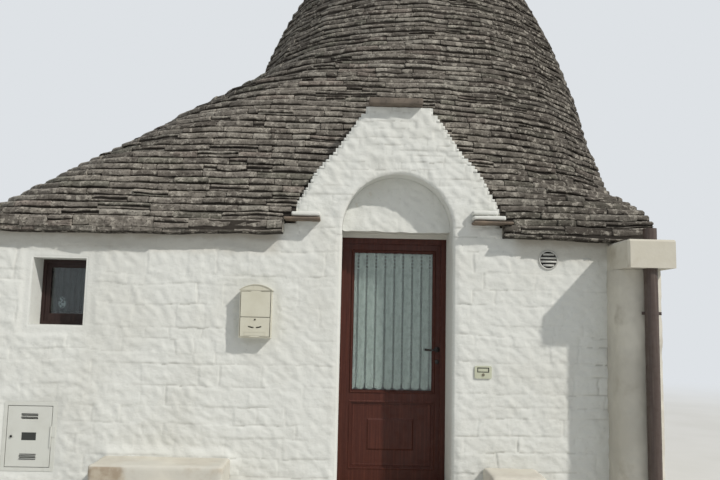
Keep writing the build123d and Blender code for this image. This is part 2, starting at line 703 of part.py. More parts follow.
def hinge_levels():
    """Lower ends of the fixed hinge barrels."""
    p = door_places()
    middle = (p["leaf_low"] + p["leaf_high"]) / 2
    return [middle - HINGE_SPACING / 2, middle + HINGE_SPACING / 2]


def make_door():
    """Frame with its lip, leaf, glass, raised panel, curtain and lever handle."""
    p = door_places()
    frame = make_door_frame(p)
    leaf = box(
        p["leaf_left"], p["leaf_right"], p["leaf_front"], p["leaf_back"],
        p["leaf_low"], p["leaf_high"],
    )
    pane_left = p["leaf_left"] + LEAF_STILE
    pane_right = p["leaf_right"] - LEAF_STILE
    pane_top = p["leaf_high"] - LEAF_TOP_RAIL
    panel_top = GLASS_BOTTOM - LEAF_MID_RAIL
    panel_low = p["leaf_low"] + LEAF_BOTTOM_RAIL
    middle_y = (p["leaf_front"] + p["leaf_back"]) / 2
    glass_front = middle_y - GLASS_THICKNESS
    panel_front = middle_y - PANEL_THICKNESS / 2
    for low, high, seat in ((GLASS_BOTTOM, pane_top, glass_front), (panel_low, panel_top, panel_front)):
        leaf = leaf - box(pane_left, pane_right, p["leaf_front"] - 1, p["leaf_back"] + 1, low, high)
        leaf = leaf + bead_ring(pane_left, pane_right, p["leaf_front"] + BEAD_SINK, seat, low, high)
    glass = box(pane_left, pane_right, glass_front, middle_y, GLASS_BOTTOM, pane_top)
    panel = box(
        pane_left, pane_right, panel_front, middle_y + PANEL_THICKNESS / 2,
        panel_low, panel_top,
    )
    panel = panel + raised_field(pane_left, pane_right, panel_front, panel_low, panel_top)
    curtain_front = middle_y + CURTAIN_THICKNESS
    curtain = box(
        pane_left + CURTAIN_SIDE_GAP, pane_right - CURTAIN_SIDE_GAP,
        curtain_front, curtain_front + CURTAIN_THICKNESS,
        GLASS_BOTTOM + CURTAIN_HEM, pane_top,
    )
    for low in hinge_levels():
        frame = frame + hinge_half(p, low, -1)
        leaf = leaf + hinge_half(p, low + HINGE_HEIGHT + HINGE_PLAY, 1)
    leaf = leaf - rod(
        p["handle_x"], p["leaf_front"] - 1, HANDLE_LEVEL, SPINDLE_RADIUS + HINGE_PLAY,
        LEAF_THICKNESS + 2, "Y",
    )
    leaf = leaf + disc(
        p["handle_x"], p["leaf_front"] - LOCK_RISE, HANDLE_LEVEL - LOCK_DROP, LOCK_RADIUS,
        LEAF_THICKNESS + 2 * LOCK_RISE, "Y",
    )
    return {
        "door_frame": frame, "door_leaf": leaf, "door_glass": glass, "door_panel": panel,
        "door_curtain": curtain, "door_handle": make_handle(p),
    }


def make_door_frame(p):
    """Frame without a sill, with a lip that the leaf closes against."""
    frame = box(jamb(-1), jamb(1), p["frame_front"], p["frame_back"], FLOOR_LEVEL, FRAME_TOP)
    clear = RECESS_WIDTH / 2 - FRAME_FACE
    frame = frame - box(
        DOOR_X - clear, DOOR_X + clear, p["frame_front"] + FRAME_LIP, p["frame_back"] + 1,
        FLOOR_LEVEL - 1, FRAME_TOP - FRAME_FACE,
    )
    lip = clear - FRAME_LIP
    return frame - box(
        DOOR_X - lip, DOOR_X + lip, p["frame_front"] - 1, p["frame_back"],
        FLOOR_LEVEL - 1, FRAME_TOP - FRAME_FACE - FRAME_LIP,
    )


def bead_ring(x0, x1, y0, y1, z0, z1):
    """Bead round an opening, between the face of the leaf and what it holds."""
    ring = box(x0, x1, y0, y1, z0, z1)
    return ring - box(
        x0 + BEAD_WIDTH, x1 - BEAD_WIDTH, y0 - 1, y1 + 1, z0 + BEAD_WIDTH, z1 - BEAD_WIDTH,
    )


def raised_field(x0, x1, face, low, high):
    """Raised middle of the panel with bevelled edges."""
    field = box(
        x0 + PANEL_FIELD_INSET, x1 - PANEL_FIELD_INSET, face - PANEL_FIELD_RISE, face,
        low + PANEL_FIELD_INSET, high - PANEL_FIELD_INSET / 2,
    )
    return chamfer(field.faces().sort_by(Axis.Y)[0].edges(), PANEL_FIELD_BEVEL)


def hinge_half(p, low, side):
    """One barrel with its flap: side -1 sits on the frame, side 1 on the leaf."""
    barrel = rod(p["hinge_x"], p["hinge_y"], low, HINGE_RADIUS, HINGE_HEIGHT)
    seat = p["frame_back"] if side < 0 else p["leaf_back"]
    ends = sorted((p["hinge_x"], p["hinge_x"] + side * HINGE_FLAP))
    flap = box(*ends, seat, p["hinge_y"], low, low + HINGE_HEIGHT)
    return barrel + flap


def make_handle(p):
    """Lever on both faces of the leaf, on one spindle."""
    x = p["handle_x"]
    through = LEAF_THICKNESS + 2 * (ROSETTE_THICKNESS + HANDLE_STANDOFF)
    start = p["leaf_front"] - ROSETTE_THICKNESS - HANDLE_STANDOFF
    body = rod(x, start, HANDLE_LEVEL, SPINDLE_RADIUS, through, "Y")
    for y0 in (p["leaf_front"] - HINGE_PLAY - ROSETTE_THICKNESS, p["leaf_back"] + HINGE_PLAY):
        body = body + disc(x, y0, HANDLE_LEVEL, ROSETTE_RADIUS, ROSETTE_THICKNESS, "Y")
    for y in (start + HANDLE_RADIUS, start + through - HANDLE_RADIUS):
        grip = box(
            x - HANDLE_LENGTH, x + HANDLE_RADIUS, y - HANDLE_RADIUS, y + HANDLE_RADIUS,
            HANDLE_LEVEL - HANDLE_RADIUS, HANDLE_LEVEL + HANDLE_RADIUS,
        )
        body = body + chamfer(grip.edges().filter_by(Axis.X), HANDLE_BEVEL)
    return body


# Window

def make_window():
    """Fixed frame with its stepped sash, glass and curtain."""
    y0 = FRONT_Y + WINDOW_RECESS
    y1 = y0 + WINDOW_FRAME_DEPTH
    frame = window_opening(y0, y1)
    half = WINDOW_WIDTH / 2
    top = WINDOW_BOTTOM + WINDOW_HEIGHT
    inner = half - WINDOW_FRAME_FACE
    frame = frame - box(
        WINDOW_X - inner, WINDOW_X + inner, y0 - 1, y0 + WINDOW_SASH_STEP,
        WINDOW_BOTTOM + WINDOW_FRAME_FACE, top - WINDOW_FRAME_FACE,
    )
    pane = inner - WINDOW_SASH_FACE
    pane_low = WINDOW_BOTTOM + WINDOW_FRAME_FACE + WINDOW_BOTTOM_FACE
    pane_top = top - WINDOW_FRAME_FACE - WINDOW_SASH_FACE
    frame = frame - box(WINDOW_X - pane, WINDOW_X + pane, y0 - 1, y1 + 1, pane_low, pane_top)
    glass_y = (y0 + y1) / 2
    glass = box(WINDOW_X - pane, WINDOW_X + pane, glass_y - WINDOW_GLASS, glass_y, pane_low, pane_top)
    curtain = box(
        WINDOW_X - pane + CURTAIN_SIDE_GAP, WINDOW_X + pane - CURTAIN_SIDE_GAP,
        glass_y + CURTAIN_THICKNESS, glass_y + 2 * CURTAIN_THICKNESS,
        pane_low + CURTAIN_SIDE_GAP, pane_top,
    )
    return {"window_frame": frame, "window_glass": glass, "window_curtain": curtain}


# Meter cabinet

def make_meter():
    """Cabinet built into the wall with a slotted door on a pin."""
    half = METER_WIDTH / 2
    top = METER_BOTTOM + METER_HEIGHT
    body = box(METER_X - half, METER_X + half, FRONT_Y, FRONT_Y + METER_DEPTH, METER_BOTTOM, top)
    wall = METER_WALL
    body = body - box(
        METER_X - half + wall, METER_X + half - wall, FRONT_Y - 1, FRONT_Y + METER_DEPTH - wall,
        METER_BOTTOM + wall, top - wall,
    )
    door_x0 = METER_X - half + METER_WALL + LEAF_GAP
    door_x1 = METER_X + half - METER_WALL - LEAF_GAP
    door_z0 = METER_BOTTOM + METER_WALL + LEAF_GAP
    door_z1 = top - METER_WALL - LEAF_GAP
    flange = box(
        METER_X - half - METER_FLANGE, METER_X + half + METER_FLANGE,
        FRONT_Y - METER_FLANGE_THICKNESS, FRONT_Y,
        METER_BOTTOM - METER_FLANGE, top + METER_FLANGE,
    )
    flange = fillet(flange.edges().filter_by(Axis.Y), METER_CORNER)
    flange = flange - box(
        METER_X - half + wall, METER_X + half - wall, FRONT_Y - METER_FLANGE_THICKNESS - 1, FRONT_Y + 1,
        METER_BOTTOM + wall, top - wall,
    )
    face = FRONT_Y - METER_FLANGE_THICKNESS
    door = box(door_x0, door_x1, face, face + METER_DOOR_THICKNESS, door_z0, door_z1)
    for level in slot_levels(door_z0, door_z1):
        door = door - box(
            METER_X - METER_SLOT_WIDTH / 2, METER_X + METER_SLOT_WIDTH / 2, face - 1,
            face + METER_DOOR_THICKNESS + 1, level - METER_SLOT_HEIGHT / 2, level + METER_SLOT_HEIGHT / 2,
        )
    lock_x = door_x0 + METER_LOCK_INSET
    door = door + disc(
        lock_x, face - METER_LOCK_RISE, METER_VIEW_LEVEL, METER_LOCK_RADIUS, METER_LOCK_RISE, "Y",
    )
    sight = (
        METER_X - METER_VIEW_WIDTH / 2, METER_X + METER_VIEW_WIDTH / 2,
        METER_VIEW_LEVEL - METER_VIEW_HEIGHT / 2, METER_VIEW_LEVEL + METER_VIEW_HEIGHT / 2,
    )
    door = door - box(*sight[:2], face - 1, face + METER_DOOR_THICKNESS + 1, *sight[2:])
    pane = box(*sight[:2], face + METER_PANE_SINK, face + METER_DOOR_THICKNESS, *sight[2:])
    pin_y = face - METER_PIN_RADIUS
    middle = (door_z0 + door_z1) / 2
    low = middle - METER_KNUCKLE
    high = middle + HINGE_PLAY
    door = door + rod(door_x1, pin_y, low, METER_PIN_RADIUS, METER_KNUCKLE)
    door = door + box(door_x1 - 2 * METER_PIN_RADIUS, door_x1, pin_y, face, low, middle)
    body = body + flange + rod(door_x1, pin_y, high, METER_PIN_RADIUS, METER_KNUCKLE)
    body = body + box(door_x1, METER_X + half + METER_FLANGE, pin_y, face, high, high + METER_KNUCKLE)
    return {"meter_box": body, "meter_door": door, "meter_sight_glass": pane}


def slot_levels(low, high):
    """Middles of the four air slots."""
    return [
        high - METER_SLOT_EDGE, high - METER_SLOT_EDGE - METER_SLOT_PITCH,
        low + METER_SLOT_EDGE, low + METER_SLOT_EDGE + METER_SLOT_PITCH,
    ]


# Letter box

def make_letter_box():
    """Sheet-metal box with a curved top, a flap over the slot and a lower door."""
    half = BOX_WIDTH / 2
    shoulder = BOX_BOTTOM + BOX_SHOULDER
    crown_radius = (half ** 2 + BOX_CROWN ** 2) / (2 * BOX_CROWN)
    y0 = FRONT_Y - BOX_DEPTH
    body = box(BOX_X - half, BOX_X + half, y0, FRONT_Y, BOX_BOTTOM, shoulder)
    crown = rod(BOX_X, y0, shoulder + BOX_CROWN - crown_radius, crown_radius, BOX_DEPTH, "Y")
    crown = crown & box(BOX_X - half, BOX_X + half, y0, FRONT_Y, shoulder, shoulder + BOX_CROWN + 1)
    wall = BOX_WALL
    body = body - box(
        BOX_X - half + wall, BOX_X + half - wall, y0 - 1, FRONT_Y - wall,
        BOX_BOTTOM + wall, shoulder - wall,
    )
    body = body + crown + make_hood(y0, shoulder, crown_radius)
    front_low = BOX_BOTTOM + wall + BOX_FRONT_GAP
    door_top = BOX_BOTTOM + BOX_DIVIDER
    flap_low = door_top + BOX_FRONT_GAP
    flap_top = shoulder - wall - BOX_FRONT_GAP
    x0 = BOX_X - half + wall + BOX_FRONT_GAP
    x1 = BOX_X + half - wall - BOX_FRONT_GAP
    pin = BOX_PIN_RADIUS
    third = (x1 - x0) / 3
    tab = (x0 + third + HINGE_PLAY, x1 - third - HINGE_PLAY)
    door = box(x0, x1, y0, y0 + BOX_SHEET, front_low + 2 * pin, door_top)
    door = door + rod(tab[0], y0 + pin, front_low, pin, tab[1] - tab[0], "X")
    door = door + box(*tab, y0, y0 + BOX_SHEET, front_low, front_low + 2 * pin)
    door = dress_box_door(door, y0, door_top)
    flap = box(x0, x1, y0, y0 + BOX_SHEET, flap_low, flap_top - 2 * pin)
    flap = flap + rod(tab[0], y0 + pin, flap_top, pin, tab[1] - tab[0], "X")
    flap = flap + box(*tab, y0, y0 + BOX_SHEET, flap_top - 2 * pin, flap_top)
    side = BOX_X - half
    length = x0 + third - side
    for level in (front_low, flap_top):
        body = body + rod(side, y0 + pin, level, pin, length, "X")
        body = body + rod(x1 - third, y0 + pin, level, pin, length, "X")
    return {"letter_box": body, "letter_box_flap": flap, "letter_box_door": door}


def make_hood(y0, shoulder, crown_radius):
    """Curved sheet over the top of the box that overhangs its front and sides."""
    reach = BOX_WIDTH / 2 + BOX_HOOD_SIDE
    centre = shoulder + BOX_CROWN - crown_radius
    start = y0 - BOX_HOOD_FRONT
    length = FRONT_Y - start
    sheet = rod(BOX_X, start, centre, crown_radius + BOX_HOOD_THICKNESS, length, "Y")
    sheet = sheet - rod(BOX_X, start - 1, centre, crown_radius, length + 2, "Y")
    return sheet & box(BOX_X - reach, BOX_X + reach, start, FRONT_Y, centre, shoulder + BEYOND)


def dress_box_door(door, y0, top):
    """Lock, the two curved sight slots and the frame for a name card."""
    door = door + disc(BOX_X, y0 - BOX_LOCK_RISE, top - BOX_LOCK_DROP, BOX_LOCK_RADIUS, BOX_LOCK_RISE, "Y")
    centre = top - BOX_SLOT_DROP + BOX_SLOT_CURVE
    inner = BOX_SLOT_CURVE - BOX_SLOT_HEIGHT / 2
    band = rod(BOX_X, y0 - 1, centre, inner + BOX_SLOT_HEIGHT, BOX_SHEET + 2, "Y")
    band = band - rod(BOX_X, y0 - 2, centre, inner, BOX_SHEET + 4, "Y")
    for side in (-1, 1):
        ends = sorted((BOX_X + side * BOX_SLOT_GAP, BOX_X + side * BOX_SLOT_REACH))
        door = door - (band & box(*ends, y0 - 1, y0 + BOX_SHEET + 1, BOX_BOTTOM, top))
    label = [BOX_X - BOX_LABEL_WIDTH / 2, BOX_X + BOX_LABEL_WIDTH / 2]
    middle = top - BOX_LABEL_DROP
    rim = BOX_LABEL_RIM
    low = middle - BOX_LABEL_HEIGHT / 2
    high = middle + BOX_LABEL_HEIGHT / 2
    frame = box(*label, y0 - BOX_LABEL_RISE, y0, low, high)
    return door + (frame - box(
        label[0] + rim, label[1] - rim, y0 - BOX_LABEL_RISE - 1, y0, low + rim, high - rim,
    ))


# Bell and vent

def make_small_fittings():
    """Bell plate with its button and the louvred vent."""
    bell_x = jamb(1) + BELL_FROM_JAMB
    half = BELL_WIDTH / 2
    plate = box(
        bell_x - half, bell_x + half, FRONT_Y - BELL_THICKNESS, FRONT_Y,
        BELL_Z - BELL_HEIGHT / 2, BELL_Z + BELL_HEIGHT / 2,
    )
    plate = fillet(plate.edges().filter_by(Axis.Y), BELL_CORNER)
    button_z = BELL_Z - BELL_HEIGHT / 5
    face = FRONT_Y - BELL_THICKNESS
    bore_radius = BELL_BUTTON_RADIUS + BELL_BORE_PLAY
    plate = plate - rod(bell_x, face - 1, button_z, bore_radius, BELL_BORE_DEPTH + 1, "Y")
    card_z = BELL_Z + BELL_HEIGHT / 5
    plate = plate - box(
        bell_x - BELL_CARD_WIDTH / 2, bell_x + BELL_CARD_WIDTH / 2, face - 1, face + BELL_CARD_SINK,
        card_z - BELL_CARD_HEIGHT / 2, card_z + BELL_CARD_HEIGHT / 2,
    )
    button = disc(
        bell_x, face - BELL_BUTTON_RISE, button_z,
        BELL_BUTTON_RADIUS, BELL_BUTTON_LENGTH, "Y",
    )
    vent = make_vent()
    return {"bell_plate": plate, "bell_button": button, "vent_grille": vent}


def make_vent():
    """Round rim with louvre blades that slope down to the street."""
    clear = VENT_RADIUS - VENT_RIM
    face = FRONT_Y - VENT_THICKNESS
    ring = disc(VENT_X, face, VENT_Z, VENT_RADIUS, VENT_THICKNESS, "Y")
    ring = ring - disc(VENT_X, face - 1, VENT_Z, clear, VENT_THICKNESS + 2, "Y")
    seat = VENT_RADIUS - VENT_RIM / 2
    pitch = 2 * clear / (VENT_BARS + 1)
    for i in range(VENT_BARS):
        rise = pitch * (i + 1) - clear
        length = 2 * math.sqrt(seat ** 2 - rise ** 2)
        blade = Rot(VENT_BLADE_TILT, 0, 0) * Box(length, VENT_BLADE_THICKNESS, VENT_BLADE)
        ring = ring + Pos(VENT_X, FRONT_Y - VENT_THICKNESS / 2, VENT_Z + rise) * blade
    return ring


def build():
    """Every named piece of the house."""
    nodes = {}
    nodes.update(make_walls())
    nodes.update(make_gable())
    nodes.update(make_roof())
    left_x = jamb(-1) - LEFT_BENCH_FROM_JAMB - LEFT_BENCH_LENGTH
    nodes["left_bench"] = make_bench(left_x, LEFT_BENCH_LENGTH, LEFT_BENCH_HEIGHT)
    right_x = jamb(1) + RIGHT_BENCH_FROM_JAMB
    nodes["right_bench"] = make_bench(right_x, RIGHT_BENCH_LENGTH, RIGHT_BENCH_HEIGHT)
    nodes.update(make_pier())
    nodes.update(make_door())
    nodes.update(make_window())
    nodes.update(make_meter())
    nodes.update(make_letter_box())
    nodes.update(make_small_fittings())
    return nodes


os.makedirs("parts", exist_ok=True)
for name, shape in build().items():
    export_step(shape, f"parts/{name}.step")
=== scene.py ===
"""A trullo: limewashed rubble walls under a roof of laid limestone slabs, dressed over its solids."""
import logging
import math
import random
from collections.abc import Callable, Iterable
from dataclasses import dataclass, field
from enum import Enum

import bmesh
import bpy
import numpy as np
from mathutils import Matrix, Vector, noise


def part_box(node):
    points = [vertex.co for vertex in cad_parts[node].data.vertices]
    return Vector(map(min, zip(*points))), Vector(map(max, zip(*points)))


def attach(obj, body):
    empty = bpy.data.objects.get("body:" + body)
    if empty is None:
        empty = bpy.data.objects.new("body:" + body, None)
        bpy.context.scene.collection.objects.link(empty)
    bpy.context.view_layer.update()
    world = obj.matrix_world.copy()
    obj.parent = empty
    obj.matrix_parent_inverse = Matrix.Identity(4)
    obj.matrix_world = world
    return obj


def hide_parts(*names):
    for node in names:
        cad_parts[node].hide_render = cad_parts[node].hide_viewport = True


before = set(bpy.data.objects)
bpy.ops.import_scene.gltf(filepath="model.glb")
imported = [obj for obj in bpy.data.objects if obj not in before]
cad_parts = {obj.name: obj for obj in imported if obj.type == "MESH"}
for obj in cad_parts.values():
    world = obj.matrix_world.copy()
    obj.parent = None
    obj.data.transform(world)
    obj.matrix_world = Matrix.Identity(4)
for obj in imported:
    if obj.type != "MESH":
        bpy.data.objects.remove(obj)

LOG = logging.getLogger("trullo")
Array = np.ndarray
Pair = tuple[float, float]
Triple = tuple[float, float, float]
Tint = Triple
Rect = tuple[float, float, float, float]  # Ends across, then ends upward
Faces = list[tuple[int, ...]]
Piece = bpy.types.Object
Finish = bpy.types.Material
Socket = bpy.types.NodeSocket
Value = Socket | float
Tone = Socket | Triple


def srgb(red: int, green: int, blue: int) -> Tint:
    """Turns a tone on the 0 to 255 scale into linear values."""
    values = [value / 255 for value in (red, green, blue)]
    return tuple(v / 12.92 if v <= 0.04045 else ((v + 0.055) / 1.055) ** 2.4 for v in values)


# Small tools for numbers and meshes

def ease(value: Array | float) -> Array | float:
    """Smooth step from 0 to 1."""
    held = np.clip(value, 0.0, 1.0)
    return held * held * (3 - 2 * held)


def lattice(ix: Array, iy: Array, seed: int) -> Array:
    """Gives each lattice corner its own fixed value.

    Args:
        ix: Column numbers.
        iy: Row numbers.
        seed: Which set of values.

    Returns:
        Values from 0 to 1.
    """
    mixed = (ix * 374761393 + iy * 668265263 + seed * 974634777) & 0x7FFFFFFF
    mixed = ((mixed ^ (mixed >> 13)) * 1274126177) & 0x7FFFFFFF
    return ((mixed ^ (mixed >> 16)) & 0xFFFFFF) / 0xFFFFFF


def ripple(u: Array, v: Array, cell: float, seed: int) -> Array:
    """Soft random relief over a plane.

    Args:
        u: Positions across, in metres.
        v: Positions up, in metres.
        cell: Size of its features, in metres.
        seed: Which relief.

    Returns:
        Values from -1 to 1.
    """
    x = np.asarray(u, dtype=float) / cell
    y = np.asarray(v, dtype=float) / cell
    ix = np.floor(x).astype(np.int64)
    iy = np.floor(y).astype(np.int64)
    fx = ease(x - ix)
    fy = ease(y - iy)
    low = lattice(ix, iy, seed) * (1 - fx) + lattice(ix + 1, iy, seed) * fx
    high = lattice(ix, iy + 1, seed) * (1 - fx) + lattice(ix + 1, iy + 1, seed) * fx
    return 2 * (low * (1 - fy) + high * fy) - 1


def mesh_piece(name: str, verts: Iterable, faces: Iterable, smooth: bool = True) -> Piece:
    """Makes an object from corners and faces.

    Args:
        name: Name of the piece.
        verts: Corners in metres.
        faces: Corner numbers of each face.
        smooth: Shades it smooth.

    Returns:
        The new object, linked to the scene.
    """
    mesh = bpy.data.meshes.new(name)
    mesh.from_pydata([tuple(v) for v in verts], [], [tuple(f) for f in faces])
    mesh.validate()
    if smooth:
        mesh.shade_smooth()
    obj = bpy.data.objects.new(name, mesh)
    bpy.context.scene.collection.objects.link(obj)
    return obj


def dress(obj: Piece, body: str, slot: str, finish: Finish) -> Piece:
    """Gives a new piece its finish and the body it moves with.

    Args:
        obj: The piece.
        body: Name of the body.
        slot: Material slot of the record. Not used.
        finish: Its material.

    Returns:
        The same piece.
    """
    obj.data.materials.clear()
    obj.data.materials.append(finish)
    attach(obj, body)
    LOG.info("%s rides on %s", obj.name, body)
    return obj


def finish_nodes(finish: Finish, *names: str) -> None:
    """Gives carried-over solids a finish.

    Args:
        finish: The material.
        *names: Nodes of the frame.
    """
    for name in names:
        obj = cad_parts[name]
        if not obj.material_slots:
            obj.data.materials.append(finish)
        for place in obj.material_slots:
            place.link = "OBJECT"
            place.material = finish


def cut_block(low: Vector, high: Vector, cell: float) -> tuple[Array, Faces]:
    """Box surface divided into near-square cells, with shared corners.

    Args:
        low: Lowest corner.
        high: Highest corner.
        cell: Size of a cell.

    Returns:
        The corners and the faces.
    """
    size = high - low
    counts = [max(2, round(length / cell)) for length in size]
    index: dict[tuple[int, int, int], int] = {}
    verts: list[Triple] = []

    def corner(key: tuple[int, int, int]) -> int:
        """Number of a corner, made when it is first needed.

        Args:
            key: Its number of cells along each edge.

        Returns:
            Its number.
        """
        if key not in index:
            index[key] = len(verts)
            verts.append(tuple(low[i] + size[i] * key[i] / counts[i] for i in range(3)))
        return index[key]

    faces = []
    for axis in range(3):
        a, b = [i for i in range(3) if i != axis]
        for end in (0, counts[axis]):
            for i in range(counts[a]):
                for j in range(counts[b]):
                    ring = []
                    for di, dj in ((0, 0), (1, 0), (1, 1), (0, 1)):
                        key = [0, 0, 0]
                        key[axis], key[a], key[b] = end, i + di, j + dj
                        ring.append(corner(tuple(key)))
                    outward = (end > 0) == (axis != 1)
                    faces.append(tuple(ring if outward else reversed(ring)))
    return np.array(verts), faces


def rough_block(
    name: str, low: Vector, high: Vector, cell: float, wear: float, relief: float, seed: int,
) -> Piece:
    """Hand-cut stone that stays inside its box: worn edges and a hewn surface.

    Args:
        name: Name of the piece.
        low: Lowest corner of its box.
        high: Highest corner of its box.
        cell: Size of the mesh cells.
        wear: Radius of the worn edges.
        relief: Depth of the hewn surface.
        seed: Which stone.

    Returns:
        The stone.
    """
    verts, faces = cut_block(low, high, cell)
    inner_low = np.array(low) + wear
    inner_high = np.array(high) - wear
    held = np.clip(verts, inner_low, inner_high)
    away = verts - held
    length = np.linalg.norm(away, axis=1)
    length[length == 0] = 1.0
    outward = away / length[:, None]
    moved = []
    for base, direction in zip(held, outward):
        place = Vector(base) * 7.0 + Vector((seed * 3.1, seed * 1.7, 0))
        deep = 0.5 + 0.5 * noise.noise(place)
        fine = 0.5 + 0.5 * noise.noise(place * 4.3)
        reach = wear - relief * (0.7 * deep + 0.3 * fine)
        moved.append(base + direction * reach)
    return mesh_piece(name, moved, faces)


def tube_faces(rings: int, count: int, start: int = 0, inward: bool = False) -> Faces:
    """Faces between rings of corners that follow one another, and over both ends.

    Args:
        rings: Number of rings.
        count: Corners of a ring.
        start: Number of the first corner.
        inward: Turns every face the other way.

    Returns:
        The faces.
    """
    faces = []
    for ring in range(rings - 1):
        for i in range(count):
            a = start + ring * count + i
            b = start + ring * count + (i + 1) % count
            faces.append((a, a + count, b + count, b) if inward else (a, b, b + count, a + count))
    first = tuple(range(start, start + count))
    last = tuple(corner + (rings - 1) * count for corner in first)
    return faces + ([first, last[::-1]] if inward else [first[::-1], last])


def lathe(name: str, profile: list[Pair], centre: Vector, sides: int) -> Piece:
    """Turned form from radius and height pairs, closed at both ends.

    Args:
        name: Name of the piece.
        profile: Radius and height pairs from the lower end up.
        centre: Foot of its axis.
        sides: Steps round the axis.

    Returns:
        The turned piece.
    """
    turns = [2 * math.pi * i / sides for i in range(sides)]
    verts = [
        (centre.x + radius * math.cos(turn), centre.y + radius * math.sin(turn), centre.z + height)
        for radius, height in profile for turn in turns
    ]
    return mesh_piece(name, verts, tube_faces(len(profile), sides))


def turned_out(
    profile: list[Pair], place: Triple, name: str = "turned", sides: int = 40,
) -> Piece:
    """Turned form whose axis points to the street.

    Args:
        profile: Radius and reach pairs.
        place: Centre of its back.
        name: Name of the piece.
        sides: Steps round the axis.

    Returns:
        The turned piece.
    """
    made = lathe(name, profile, Vector((0, 0, 0)), sides)
    made.data.transform(Matrix.Translation(place) @ Matrix.Rotation(math.pi / 2, 4, "X"))
    return made


def swept(
    name: str, line: list[Vector], ring: Callable[[float], list[Pair]], across: Vector,
) -> Piece:
    """Sweeps a closed section along a line.

    Args:
        name: Name of the piece.
        line: Points of the line.
        ring: Gives the section's side and up pairs at a share of the way along.
        across: Side direction of the section.

    Returns:
        The swept piece, closed at both ends.
    """
    verts = []
    for i, point in enumerate(line):
        ahead = (line[min(i + 1, len(line) - 1)] - line[max(i - 1, 0)]).normalized()
        side = (across - ahead * across.dot(ahead)).normalized()
        up = ahead.cross(side)
        section = ring(i / (len(line) - 1))
        verts += [point + side * a + up * b for a, b in section]
    return mesh_piece(name, verts, tube_faces(len(line), len(section)))


def oval(width: float, height: float, sides: int = 20) -> list[Pair]:
    """Points of an oval section."""
    turns = [2 * math.pi * i / sides for i in range(sides)]
    return [(width / 2 * math.cos(t), height / 2 * math.sin(t)) for t in turns]


def joined(name: str, parts: list[Piece]) -> Piece:
    """Merges several new objects into one piece.

    Args:
        name: Name of the result.
        parts: Objects to merge.

    Returns:
        The merged piece.
    """
    verts: list[Vector] = []
    faces: Faces = []
    for part in parts:
        start = len(verts)
        verts += [part.matrix_world @ v.co for v in part.data.vertices]
        faces += [tuple(start + i for i in p.vertices) for p in part.data.polygons]
        bpy.data.objects.remove(part)
    return mesh_piece(name, verts, faces)


# Finishes

